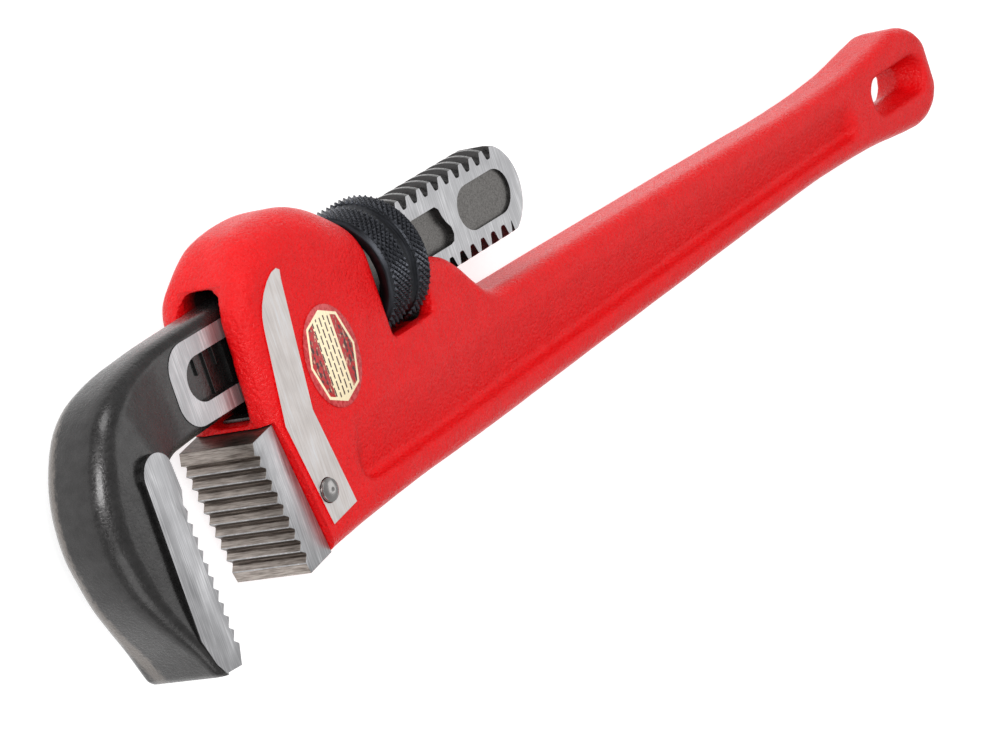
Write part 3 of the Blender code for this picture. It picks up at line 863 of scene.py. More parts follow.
@dataclass(frozen=True)
class PrintedFilm:
    """Clear polyester decal, printed on its back: a cream octagon with a cream band, plain
    bars in place of words, and a clear margin that the paint shows through."""

    centre: Point2
    cream: str = "#E9D9B4"
    ink: str = "#3B1416"
    paint: str = "#B00D12"

    def build(self) -> bpy.types.Material:
        """Returns the material."""
        material, tree, shader = new_material("printed_label_film")
        where = add_node(tree, "ShaderNodeTexCoord")
        middle = place(self.centre[0], self.centre[1], 0.0)
        scaled = add_node(
            tree,
            "ShaderNodeMapping",
            {"Location": tuple(-c / MM for c in middle), "Scale": (1 / MM,) * 3},
            {"Vector": where.outputs["Object"]},
        )
        axes = add_node(tree, "ShaderNodeSeparateXYZ", {}, {0: scaled.outputs["Vector"]})
        across, along = axes.outputs["X"], axes.outputs["Y"]

        def math_node(
            operation: str, first: object, second: object = 0.0, third: object = 0.0
        ) -> bpy.types.NodeSocket:
            """One sum, from sockets or numbers."""
            settings: dict[str | int, object] = {"operation": operation}
            links: dict[str | int, bpy.types.NodeSocket] = {}
            for key, value in enumerate((first, second, third)):
                if isinstance(value, bpy.types.NodeSocket):
                    links[key] = value
                else:
                    settings[key] = value
            return add_node(tree, "ShaderNodeMath", settings, links).outputs[0]

        u, v = math_node("ABSOLUTE", across), math_node("ABSOLUTE", along)
        steep = math_node("MULTIPLY_ADD", u, 0.952, math_node("MULTIPLY", v, 0.305))
        slant = math_node("MULTIPLY_ADD", u, 0.394, math_node("MULTIPLY", v, 0.919))
        edge = math_node(
            "MAXIMUM", math_node("SUBTRACT", steep, 9.1), math_node("SUBTRACT", slant, 11.2)
        )
        inside = math_node("LESS_THAN", edge, 0.0)
        frame_line = math_node("MULTIPLY", inside, math_node("GREATER_THAN", edge, -0.75))
        field_area = math_node("LESS_THAN", edge, -0.75)
        band = math_node("LESS_THAN", u, 3.9)
        # Three bars of plain dashes stand where words would be.
        row = math_node("PINGPONG", math_node("ADD", across, 10.0), 0.8)
        dash = math_node("FRACT", math_node("MULTIPLY_ADD", along, 0.33, math_node("SNAP", across, 1.6)))
        bars = math_node(
            "MULTIPLY",
            math_node("LESS_THAN", row, 0.24),
            math_node("LESS_THAN", dash, 0.8),
        )
        mottle = grain(tree, (0.9, 1.4, 1.0), 4.0)
        side_ink = math_node(
            "MULTIPLY", math_node("GREATER_THAN", mottle, 0.5), math_node("GREATER_THAN", u, 5.1)
        )
        speck = ramp(tree, mottle, [(0.42, self.paint), (0.55, "#8A1A1C"), (0.68, "#D8A68A")])
        ground = add_node(
            tree,
            "ShaderNodeMix",
            {"data_type": "RGBA", "A": (0, 0, 0, 1)},
            {"Factor": math_node("MULTIPLY", side_ink, math_node("LESS_THAN", row, 0.45))},
        )
        tree.links.new(speck, ground.inputs[6])
        ground.inputs[7].default_value = srgb(self.ink)
        stripe = add_node(
            tree,
            "ShaderNodeMix",
            {"data_type": "RGBA"},
            {"Factor": math_node("MULTIPLY", bars, math_node("LESS_THAN", v, 10.4))},
        )
        stripe.inputs[6].default_value = srgb(self.cream)
        stripe.inputs[7].default_value = srgb(self.ink)
        middle_band = add_node(tree, "ShaderNodeMix", {"data_type": "RGBA"}, {"Factor": band})
        tree.links.new(ground.outputs[2], middle_band.inputs[6])
        tree.links.new(stripe.outputs[2], middle_band.inputs[7])
        margin = ramp(tree, mottle, [(0.4, "#A8161A"), (0.7, "#C9484A")])
        filled = add_node(tree, "ShaderNodeMix", {"data_type": "RGBA"}, {"Factor": field_area})
        tree.links.new(margin, filled.inputs[6])
        tree.links.new(middle_band.outputs[2], filled.inputs[7])
        lined = add_node(tree, "ShaderNodeMix", {"data_type": "RGBA"}, {"Factor": frame_line})
        tree.links.new(filled.outputs[2], lined.inputs[6])
        lined.inputs[7].default_value = srgb(self.cream)
        tree.links.new(lined.outputs[2], shader.inputs["Base Color"])
        tree.links.new(span(tree, mottle, 0.2, 0.36), shader.inputs["Roughness"])
        raise_bumps(tree, shader, [(mottle, 0.15, 0.05)])
        return material


# ---- The casting ------------------------------------------------------------------------
@dataclass
class Casting:
    """The housing and handle, one sand casting, ground only on its two strips."""

    front_x: float = 3.8
    front_round: float = 5.5
    end_x: float = 360.0
    end_half: float = 15.5
    end_y: float = -12.3
    housing_half: float = 14.2
    handle_half: float = 8.9
    land_half: float = 14.5
    hump_top: float = 51.6
    slot_half: float = 6.61
    slot_floor: float = 6.4
    window: Point2 = (63.05, 83.15)
    window_floor: float = 7.25
    bore_radius: float = 18.85
    web_recess: float = 3.8
    label_centre: Point2 = (35.7, 12.6)
    pin: Point3 = (17.4, -16.3, 3.1)
    top: Knots = field(init=False)
    bottom: Knots = field(init=False)
    half: Knots = field(init=False)
    top_radius: Knots = field(init=False)

    def __post_init__(self) -> None:
        """Works out the curves that follow from the sizes."""
        crest, handle, housing = self.hump_top, self.handle_half, self.housing_half
        flare = self.end_x - 17.0
        self.top = (
            (self.front_x, 35.4), (6.2, 38.6), (9.5, 42.2), (15.0, 46.3), (22.0, 49.9),
            (29.0, crest - 0.3), (36.0, crest), (43.0, crest - 0.6), (50.0, 48.8),
            (57.0, 45.0), (64.0, 39.8), (76.0, 29.0), (84.0, 23.4), (92.0, 20.2),
            (97.0, 18.2), (101.0, 15.0), (105.0, 10.2), (109.0, 5.9), (114.0, 3.0),
            (122.0, 2.0), (150.0, 1.6), (200.0, 0.6), (250.0, -0.5), (277.0, -1.2),
            (300.0, -1.0), (318.0, 0.0), (331.0, 1.7), (flare, self.end_y + self.end_half),
        )
        self.bottom = (
            (self.front_x, -32.3), (14.0, -31.0), (25.0, -30.0), (40.0, -29.1), (60.0, -28.6),
            (110.0, -28.9), (150.0, -28.0), (200.0, -26.6), (250.0, -25.1), (280.0, -24.4),
            (300.0, -24.7), (318.0, -25.5), (331.0, -26.9), (flare, self.end_y - self.end_half),
        )
        self.half = (
            (self.front_x, housing), (47.0, housing), (58.0, housing - 0.6),
            (72.0, housing - 1.2), (86.0, housing - 2.2), (105.0, handle + 1.6),
            (120.0, handle + 0.7), (150.0, handle + 0.2), (200.0, handle),
            (300.0, handle - 0.3), (335.0, handle), (346.0, handle),
        )
        self.top_radius = (
            (self.front_x, 3.0), (12.0, 7.5), (20.0, 10.0), (45.0, 10.5), (62.0, 12.6),
            (74.0, 11.0), (88.0, 6.0), (105.0, 4.5), (120.0, 4.0), (300.0, 3.6),
        )

    def section(self, x: float) -> list[Point3]:
        """The casting's outline across the handle at one station."""
        start = self.end_x - 17.0
        end = min(max((x - start) / (self.end_x - start), 0.0), 1.0)
        if end > 0:
            tight = max(math.sqrt(1 - end * end), 0.06)
            top, bottom = self.end_y + self.end_half * tight, self.end_y - self.end_half * tight
        else:
            top, bottom = smooth(self.top, x), smooth(self.bottom, x)
        half = smooth(self.half, x) * (1 - 0.62 * ease((end - 0.75) / 0.25))
        front = min(max((x - self.front_x) / self.front_round, 0.0), 1.0)
        inner = self.slot_half + 1.0
        half = inner + (half - inner) * math.sqrt(1 - (1 - front) ** 2)
        room = (top - bottom) / 2 - 0.05
        upper = min(smooth(self.top_radius, x), half - 0.4, room)
        lower = min(3.8, half - 0.4, room)
        ring = rounded(bottom, top, -half, half, (lower, upper, upper, lower), 8)
        lean = 5.0 * (1 - ease((x - self.front_x) / 22.0))
        return [(x + lean * ease((y - 14.0) / 25.0), y, z) for y, z in ring]

    def stations(self) -> list[float]:
        """Where the sections stand: close together at the head and at the end."""
        front = [self.front_x + self.front_round * t * t for t in np.linspace(0.0, 1.0, 9)]
        head = list(np.arange(10.5, 125.0, 1.7))
        handle = list(np.arange(128.0, self.end_x - 17.0, 5.0))
        end = [self.end_x - 17.0 * (1 - math.sin(t)) for t in np.linspace(0.0, math.pi / 2, 13)]
        return front + head + handle + end

    def web_pocket(self, side: int) -> bpy.types.Object:
        """The long recess in one face of the handle, drafted like its pattern."""
        x0, x1, draft = 32.0, 308.0, 1.5
        high: Knots = ((40.0, -4.0), (80.0, -5.2), (150.0, -6.4), (200.0, -7.0), (300.0, -7.6))
        low: Knots = ((50.0, -21.6), (110.0, -22.2), (150.0, -21.6), (250.0, -19.8), (300.0, -19.4))
        stations = [x0 + 9.0 * (1 - math.cos(t)) for t in np.linspace(0.0, math.pi / 2, 10)]
        stations += list(np.arange(45.0, 298.0, 6.0))
        stations += [x1 - 9.0 * (1 - math.cos(t)) for t in np.linspace(math.pi / 2, 0.0, 10)]
        rings = []
        for x in stations:
            corner = 7.5 if x < 100.0 else 5.2
            reach = min(x - x0, x1 - x, corner)
            inset = corner - math.sqrt(corner**2 - (corner - reach) ** 2)
            top, bottom = smooth(high, x) - inset * 0.9, smooth(low, x) + inset * 0.9
            face = smooth(self.half, x)
            floor = face - self.web_recess * ease((reach + 0.6) / 5.5)
            run = draft * ease(reach / 4.0)
            rings.append(
                [
                    (x, bottom - 0.6, side * (face + 2.0)),
                    (x, bottom, side * face),
                    (x, bottom + run, side * floor),
                    (x, top - run, side * floor),
                    (x, top, side * face),
                    (x, top + 0.6, side * (face + 2.0)),
                ]
            )
        return Bench.loft("web_pocket", rings)

    def eye(self) -> bpy.types.Object:
        """The hanging eye, drafted from both faces to a smaller slot in the middle."""
        half = self.handle_half
        rings = []
        for z, inset in ((-12.0, -0.9), (-half, 0.0), (0.0, 2.6), (half, 0.0), (12.0, -0.9)):
            radius = 6.3 - inset
            left = arc(326.0, self.end_y - 0.3, radius, 90, 270, 14)
            right = arc(346.0, self.end_y - 0.3, radius, -90, 90, 14)
            rings.append([(x, y, z) for x, y in left + right])
        return Bench.loft("eye", rings)

    def heel_seat(self) -> bpy.types.Object:
        """The milled corner that the heel jaw stands in."""
        x, y = HeelJaw.depth + 0.3, HeelJaw.top_y + 0.3
        outline = HeelJaw.tilted([(-20.0, -60.0), (x, -60.0), (x, y), (-20.0, y)])
        return Bench.plate("heel_seat", outline, -20.0, 20.0)

    def strip(self, side: int) -> bpy.types.Object:
        """One ground strip, standing a little proud of the painted face."""
        outline = [(15.3, -24.6), (26.3, -22.9), (21.7, 3.6), (26.4, 36.6), (27.0, 38.8)]
        outline += [(25.8, 39.6), (23.6, 39.2), (21.0, 37.8), (18.4, 35.6), (16.4, 33.2)]
        outline += [(15.0, 30.6), (14.2, 27.8), (9.9, 3.6)]
        low, high = sorted((side * (self.land_half - 2.0), side * self.land_half))
        return Bench.plate("strip", outline, low, high)

    def build(self, enamel: bpy.types.Material, ground: bpy.types.Material) -> None:
        """Models and dresses the casting.

        Args:
            enamel: the paint over the whole casting.
            ground: the bare iron of the two strips.
        """
        body = Bench.loft("casting", [self.section(x) for x in self.stations()])
        x0, x1 = self.window
        tunnel = []
        for x, top in ((-10.0, 40.3), (14.0, 40.3), (x0 + 2.0, 38.9)):
            half = self.slot_half
            arch = rounded(self.slot_floor, top, -half, half, (0.4, 4.6, 4.6, 0.4), 8)
            tunnel.append([(x, y, z) for y, z in arch])
        Bench.combine(body, Bench.loft("tunnel", tunnel), Cut.REMOVE)
        trench = [(x0 + 1.9, self.slot_floor), (130.0, self.slot_floor), (130.0, 70.0)]
        trench.append((x0 + 1.9, 70.0))
        trench_tool = Bench.plate("trench", trench, -self.slot_half, self.slot_half)
        Bench.combine(body, trench_tool, Cut.REMOVE)
        opening = [(x0, self.window_floor), (x1, self.window_floor), (x1, 70.0), (x0, 70.0)]
        Bench.combine(body, Bench.plate("window", opening, -20.0, 20.0), Cut.REMOVE)
        ring = [(x0, 0.5), (x1, 0.5), (x1, self.bore_radius), (x0, self.bore_radius)]
        Bench.combine(body, Bench.spun("bore", ring, 64, (AXIS_Y, 0.0)), Cut.REMOVE)
        Bench.combine(body, self.web_pocket(1), Cut.REMOVE)
        Bench.combine(body, self.web_pocket(-1), Cut.REMOVE)
        Bench.combine(body, self.eye(), Cut.REMOVE)
        Bench.cast(body, 0.9, 5, 0.6)
        for side in (-1, 1):
            Bench.combine(body, self.strip(side), Cut.ADD)
        Bench.combine(body, self.heel_seat(), Cut.REMOVE)
        groove = HeelJaw.tilted([(0.0, -27.3), (24.1, -27.3), (24.1, -3.7), (0.0, -3.7)])
        Bench.combine(body, Bench.plate("groove", groove, -5.3, 5.3), Cut.REMOVE)
        hole = arc(self.pin[0], self.pin[1], self.pin[2] + 0.2, 0, 350, 35)
        Bench.combine(body, Bench.plate("pin_hole", hole, -20.0, 20.0), Cut.REMOVE)
        low, high = self.slot_floor, self.slot_floor + 2.0
        well = Bench.rod("coil_well", SmallPieces.coil_x, low - 11.5, high, 4.7)
        Bench.combine(body, well, Cut.REMOVE)
        rivet_hole = Bench.rod("rivet_hole", SmallPieces.rivet_x, low - 5.0, high, 1.75)
        Bench.combine(body, rivet_hole, Cut.REMOVE)

        def choose(at: np.ndarray, normal: np.ndarray) -> np.ndarray:
            """Bare iron on the flat tops of the strips."""
            flat = (np.abs(normal[:, 2]) > 0.99) & (np.abs(at[:, 2]) > self.land_half - 0.05)
            return np.where(flat, 1, 0)

        Bench.shade(body, 40.0)
        Bench.dress(body, (enamel, ground), choose)
        body.name = "housing_handle_casting"
        Bench.hand_in(body, "housing_handle", "red_paint")


# ---- The jaws ---------------------------------------------------------------------------
@dataclass
class HeelJaw:
    """The toothed insert and its tongue."""

    half: float = 12.0
    pitch: float = 3.48
    teeth: int = 9
    tooth_depth: float = 1.5
    low_y: float = -32.9
    depth = 8.8
    top_y = 4.0
    tilt = math.radians(8.9)

    @classmethod
    def tilted(cls, points: Sequence[Point2]) -> list[Point2]:
        """Points of the jaw's own leaning frame, in the design frame."""
        c, s = math.cos(cls.tilt), math.sin(cls.tilt)
        return [(c * x - s * y, s * x + c * y) for x, y in points]

    def build(self, ground: bpy.types.Material, hardened: bpy.types.Material,
              painted_shade: bpy.types.Material) -> None:
        """Models and dresses the jaw.

        Args:
            ground: the two ground sides, and the tips of the teeth, where its pale steel is a painted
                highlight.
            hardened: the long flanks and all the rest.
            painted_shade: a darker copy of the hardened steel, painted shade on the short flanks, the
                roots, the top and the end.
        """
        outline = [(self.depth, self.low_y), (0.3 - self.tooth_depth, self.low_y)]
        for i in reversed(range(self.teeth)):
            root = -i * self.pitch
            tip = root - 0.62 * self.pitch
            outline += [(-self.tooth_depth, tip), (-self.tooth_depth + 0.03, tip + 0.3)]
            outline += [(-0.35, root - 0.75), (0.0, root - 0.35), (0.0, root)]
        outline += [(-1.6, 1.1), (-0.2, self.top_y), (self.depth, self.top_y)]
        jaw = Bench.plate("heel", self.tilted(outline), -self.half, self.half)
        tongue = self.tilted([(5.0, -27.0), (23.8, -27.0), (23.8, -4.0), (5.0, -4.0)])
        Bench.combine(jaw, Bench.plate("tongue", tongue, -5.0, 5.0), Cut.ADD)
        hole = arc(17.4, -16.3, 3.3, 0, 350, 35)
        Bench.combine(jaw, Bench.plate("pin_hole", hole, -20.0, 20.0), Cut.REMOVE)
        Bench.bevel(jaw, 0.1, 2, 50.0)
        Bench.shade(jaw, 30.0)

        def choose(at: np.ndarray, normal: np.ndarray) -> np.ndarray:
            """Ground steel on the two sides, and on the tips as a painted highlight; the dark copy as
            painted shade on the short flanks, roots, top and end.
            """
            c, s = math.cos(self.tilt), math.sin(self.tilt)
            x, y = c * at[:, 0] + s * at[:, 1], c * at[:, 1] - s * at[:, 0]
            up = c * normal[:, 1] - s * normal[:, 0]
            toothed = (x < 0.2) & (y < 0.3) & (y > self.low_y + 1.5)
            # Short flanks facing down, and the roots, take the dark copy: painted shade.
            index = np.where(toothed & ((up < -0.25) | (x > -0.2)), 2, 0)
            # The tip flats take the pale ground steel: a painted highlight.
            index = np.where(toothed & (x < -self.tooth_depth + 0.14), 1, index)
            # The top and the end face take the dark copy too: painted shade.
            index = np.where((y > 3.9) | (y < self.low_y + 0.4), 2, index)
            side = (np.abs(normal[:, 2]) > 0.95) & (np.abs(at[:, 2]) > 11.9)
            return np.where(side, 1, index)

        Bench.dress(jaw, (hardened, ground, painted_shade), choose)
        jaw.name = "heel_jaw_insert"
        Bench.hand_in(jaw, "heel_jaw", "ground_jaw_steel")


@dataclass
class HookJaw:
    """The forged head and neck with the threaded, flat-sided shank."""

    shank_half: float = 5.76
    neck_half: float = 5.5
    head_half: float = 10.5
    land_half: float = 12.0
    thread_radius: float = 13.1
    thread_depth: float = 2.55
    pitch: float = 5.08
    phase_x: float = 94.9
    end_x: float = 143.5
    back_x: float = -57.3
    tip_y: float = -42.8
    gap: float = 31.0
    teeth: int = 11
    tooth_pitch: float = 3.52
    tooth_depth: float = 1.4
    lean: float = math.radians(2.8)
    ridge: float = 0.3

    def stations(self) -> list[tuple[float, ...]]:
        """Sections of the forging: outer and inner x and y, half thickness, edge radius, ridge."""
        neck, head = self.neck_half, self.head_half
        return [
            (36.0, 36.8, 36.0, 11.4, neck, 3.0, 0.0),
            (22.0, 36.8, 22.0, 11.2, neck, 3.0, 0.0),
            (6.0, 36.5, 6.0, 10.8, neck, 3.2, 0.1),
            (-7.0, 36.3, -10.0, 10.3, neck, 3.4, 0.2),
            (-15.0, 36.1, -16.5, 10.0, neck + 0.2, 3.7, 0.3),
            (-21.5, 35.7, -20.5, 9.9, neck + 0.8, 4.2, 0.5),
            (-28.0, 34.9, -24.0, 9.5, neck + 1.8, 4.8, self.ridge),
            (-34.8, 33.4, -27.2, 8.8, neck + 3.0, 5.4, self.ridge),
            (-41.4, 30.9, -29.8, 7.6, neck + 4.0, 5.9, self.ridge),
            (-47.7, 26.2, -32.0, 5.4, head - 0.5, 6.4, self.ridge),
            (-53.2, 17.7, -34.0, 2.2, head, 6.8, self.ridge),
            (-56.4, 9.0, -34.6, -2.0, head, 7.0, self.ridge),
            (self.back_x, -0.6, -34.6, -7.0, head, 7.0, self.ridge),
            (-56.1, -8.2, -34.6, -12.8, head, 7.0, self.ridge),
            (-53.8, -15.8, -34.6, -18.8, head, 6.2, self.ridge),
            (-50.1, -23.1, -34.6, -25.0, head + 0.3, 5.3, self.ridge),
            (-46.5, -28.9, -34.6, -30.2, head + 0.8, 4.3, self.ridge),
            (-43.5, -33.8, -34.6, -34.8, head + 1.2, 3.2, 0.2),
            (-41.3, -38.0, -34.5, -39.0, head + 1.3, 2.4, 0.1),
            (-40.0, -40.4, -34.3, -41.4, head + 1.2, 2.0, 0.0),
            (-38.9, -41.6, -34.0, self.tip_y, head + 0.6, 2.0, 0.0),
        ]

    def forging(self) -> bpy.types.Object:
        """Head and neck, with the parting ridge of its dies along the outer edge."""
        rings = []
        for ox, oy, ix, iy, half, radius, ridge in spline(self.stations(), 4):
            length = math.hypot(ox - ix, oy - iy)
            ux, uy = (ox - ix) / length, (oy - iy) / length
            outer = min(radius, half - 0.2, length / 2 - 0.1)
            inner = min(2.6, half - 0.2, length / 2 - 0.1)
            ring = rounded(0.0, length - ridge, -half, half, (inner, outer, outer, inner), 8)
            ring = self.with_ridge(ring, length - ridge, half, ridge)
            rings.append([(ix + ux * s, iy + uy * s, z) for s, z in ring])
        return Bench.loft("forging", rings)

    @staticmethod
    def with_ridge(ring: list[Point2], length: float, half: float, ridge: float) -> list[Point2]:
        """Draws the middle of the outer side out to the ridge between the two dies."""
        peak = (length + ridge, 0.0)
        split = len(ring) // 2
        drawn = []
        for s, z in ring:
            near = max(0.0, 1.0 - abs(z) / half) * ease((s - length * 0.75) / (length * 0.25))
            drawn.append((s + ridge * near, z))
        return drawn[:split] + [peak] + drawn[split:]

    def thread_marks(self) -> list[Point2]:
        """One pitch of the thread, from the start of its crest: place and depth."""
        crest = 1.25
        flank = [(0.0, 0.0), (0.1, 0.04), (0.2, 0.18), (0.62, 1.3), (0.95, 2.2), (1.25, 2.5)]
        flank += [(1.6, self.thread_depth), (2.25, self.thread_depth), (2.6, 2.5), (2.9, 2.2)]
        flank += [(3.23, 1.3), (3.63, 0.18), (3.73, 0.04)]
        return [(0.0, 0.0)] + [(crest + s, d) for s, d in flank]

    def shank_edge(self, z: float, side: int) -> list[Point2]:
        """One threaded edge of the shank at one height, from the neck to the end.

        Args:
            z: the height.
            side: 1 for the edge towards the hump, -1 for the other.

        Returns:
            X, and Y from the shank's axis. The helix carries them along X as z rises.
        """
        reach = self.thread_radius + 0.05
        middle = self.end_x - reach
        turn = math.asin(z / self.thread_radius) / (2 * math.pi)
        turn = turn if side > 0 else 0.5 - turn
        points = []
        for pitches in range(-13, 12):
            for along, depth in self.thread_marks():
                x = self.phase_x - 0.62 + (pitches + turn) * self.pitch + along
                if side < 0:
                    x -= self.pitch
                radius = self.thread_radius - (depth if x < middle + 4.5 else 0.0)
                y = math.sqrt(radius * radius - z * z)
                if x > middle:
                    y = min(y, math.sqrt(max(reach * reach - (x - middle) ** 2, 0.01)))
                points.append((x, side * y))
        return points

    def shank(self) -> bpy.types.Object:
        """The flat-sided, threaded bar, lofted through its thickness."""
        reach = self.thread_radius + 0.05
        middle = self.end_x - reach
        heights = [float(z) for z in np.linspace(-self.shank_half, self.shank_half, 15)]
        edges = {side: [self.shank_edge(z, side) for z in heights] for side in (-1, 1)}
        kept = {}
        for side, rows in edges.items():
            inside = [
                i for i in range(len(rows[0]))
                if all(33.4 < row[i][0] < self.end_x - 0.2 for row in rows)
            ]
            kept[side] = slice(inside[0], inside[-1] + 1)
        rings = []
        for row, z in enumerate(heights):
            low, high = edges[-1][row][kept[-1]], edges[1][row][kept[1]]
            start = math.asin(max(min(low[-1][1] / reach, 1.0), -1.0))
            end = math.asin(max(min(high[-1][1] / reach, 1.0), -1.0))
            nose = [start + (end - start) * i / 12 for i in range(1, 12)]
            tip = [(middle + reach * math.cos(a), reach * math.sin(a)) for a in nose]
            outline = [(33.0, -10.0)] + low + tip + high[::-1] + [(33.0, 10.0)]
            rings.append([(x, AXIS_Y + y, z) for x, y in outline])
        return Bench.loft("shank", rings)

    def land(self) -> bpy.types.Object:
        """The ground tooth land, round at the top, with its teeth."""
        left, right = -self.gap - 10.7, -self.gap + 0.2
        outline = [(-self.gap, -41.9), (-36.9, -41.5), (-39.2, -38.2), (left, -31.0)]
        outline += [(left, 10.4)] + arc(left + 5.6, 9.5, 5.6, 172, 28, 14)
        outline += [(right - 0.1, 10.4), (right, 8.8), (right + 0.3, 3.6), (-self.gap - 0.8, 0.25)]
        dx = self.tooth_pitch * math.sin(self.lean)
        dy = -self.tooth_pitch * math.cos(self.lean)
        for i in range(self.teeth):
            x, y = -self.gap + i * dx, -1.7 + i * dy
            outline.append((x, y))
            if i < self.teeth - 1:
                outline.append((x - self.tooth_depth + 0.1, y + 0.58 * dy))
                outline.append((x - self.tooth_depth + 0.1, y + 0.68 * dy))
        plate = Bench.plate("land", outline, -self.land_half, self.land_half)
        Bench.bevel(plate, 0.18, 2, 20.0)
        return plate

    def ring_pad(self) -> bpy.types.Object:
        """The ground U on both sides of the neck, before its middle is sunk."""
        outline = rounded(-14.5, 36.0, 12.0, 33.4, (7.4, 0.4, 0.4, 7.4), 10)
        return Bench.plate("ring", outline, -self.shank_half, self.shank_half)

    def recesses(self, side: int) -> list[bpy.types.Object]:
        """The three sunk panels of one side: size scale, long panel and oval."""
        low, high = sorted((side * (self.shank_half - 2.0), side * 9.0))
        scale = rounded(-9.0, 58.0, 16.9, 28.6, (5.8, 1.5, 1.5, 5.8), 12)
        right = [(108.2, 18.6), (109.2, 20.4), (108.9, 22.4), (107.4, 24.3), (106.4, 26.4)]
        right += [(106.0, 28.2), (104.6, 29.4)]
        panel = [(62.0, 18.2), (106.6, 18.2)] + right + [(62.0, 29.4)]
        tools = [Bench.plate("scale", scale, low, high), Bench.plate("panel", panel, low, high)]
        low, high = sorted((side * (self.shank_half - 0.9), side * 9.0))
        oval = arc(119.8, 24.1, 6.2, 90, 270, 16) + arc(132.2, 24.1, 6.2, -90, 90, 16)
        tools.append(Bench.plate("oval", oval, low, high))
        return tools

    def scale_line(self, side: int, number: int) -> bpy.types.Object:
        """One raised line of the size scale; every second one runs the whole way across."""
        x = -3.0 + 3.9 * number
        low, high = sorted((side * (self.shank_half - 2.3), side * (self.shank_half - 1.35)))
        bottom = 17.2 if number % 2 else 23.4
        line = Bench.plate("scale_line", rounded(x, x + 0.55, bottom, 28.3, (0.2,) * 4, 3), low, high)
        Bench.bevel(line, 0.12, 2, 60.0)
        return line

    def build(self, black: bpy.types.Material, ground: bpy.types.Material,
              bare: bpy.types.Material, worn: bpy.types.Material) -> None:
        """Models and dresses the jaw.

        Args:
            black: the oxide skin of the forging and the thread.
            ground: the ground sides of shank, neck and tooth land.
            bare: the sunk cast floors.
            worn: the teeth.
        """
        jaw = self.shank()
        Bench.combine(jaw, self.forging(), Cut.ADD)
        Bench.combine(jaw, self.ring_pad(), Cut.ADD)
        Bench.combine(jaw, self.land(), Cut.ADD)
        for side in (-1, 1):
            for tool in self.recesses(side):
                Bench.combine(jaw, tool, Cut.REMOVE)
            for number in range(7):
                Bench.combine(jaw, self.scale_line(side, number), Cut.ADD)
        Bench.shade(jaw, 32.0)

        def choose(at: np.ndarray, normal: np.ndarray) -> np.ndarray:
            """Ground on the machined planes, bare in the oval, worn on the teeth."""
            flat = np.abs(normal[:, 2]) > 0.98
            depth = np.abs(at[:, 2])
            side = flat & (np.abs(depth - self.shank_half) < 0.03) & (at[:, 0] > -15.2)
            face = flat & (depth > self.land_half - 0.03)
            oval = flat & (np.abs(depth - self.shank_half + 0.9) < 0.03) & (at[:, 0] > 112.0)
            oval |= flat & (np.abs(depth - self.shank_half + 2.0) < 0.03) & (at[:, 0] > 61.0)
            land = (np.abs(at[:, 0] + 31.0) < 2.6) & (depth < self.land_half + 0.01)
            teeth = land & (at[:, 1] < 9.0) & (np.abs(normal[:, 2]) < 0.3)
            index = np.where(teeth, 3, 0)
            index = np.where(oval, 2, index)
            return np.where(side | face, 1, index)

        Bench.dress(jaw, (black, ground, bare, worn), choose)
        jaw.name = "hook_jaw_forging"
        Bench.hand_in(jaw, "hook_jaw", "black_oxide_forging")


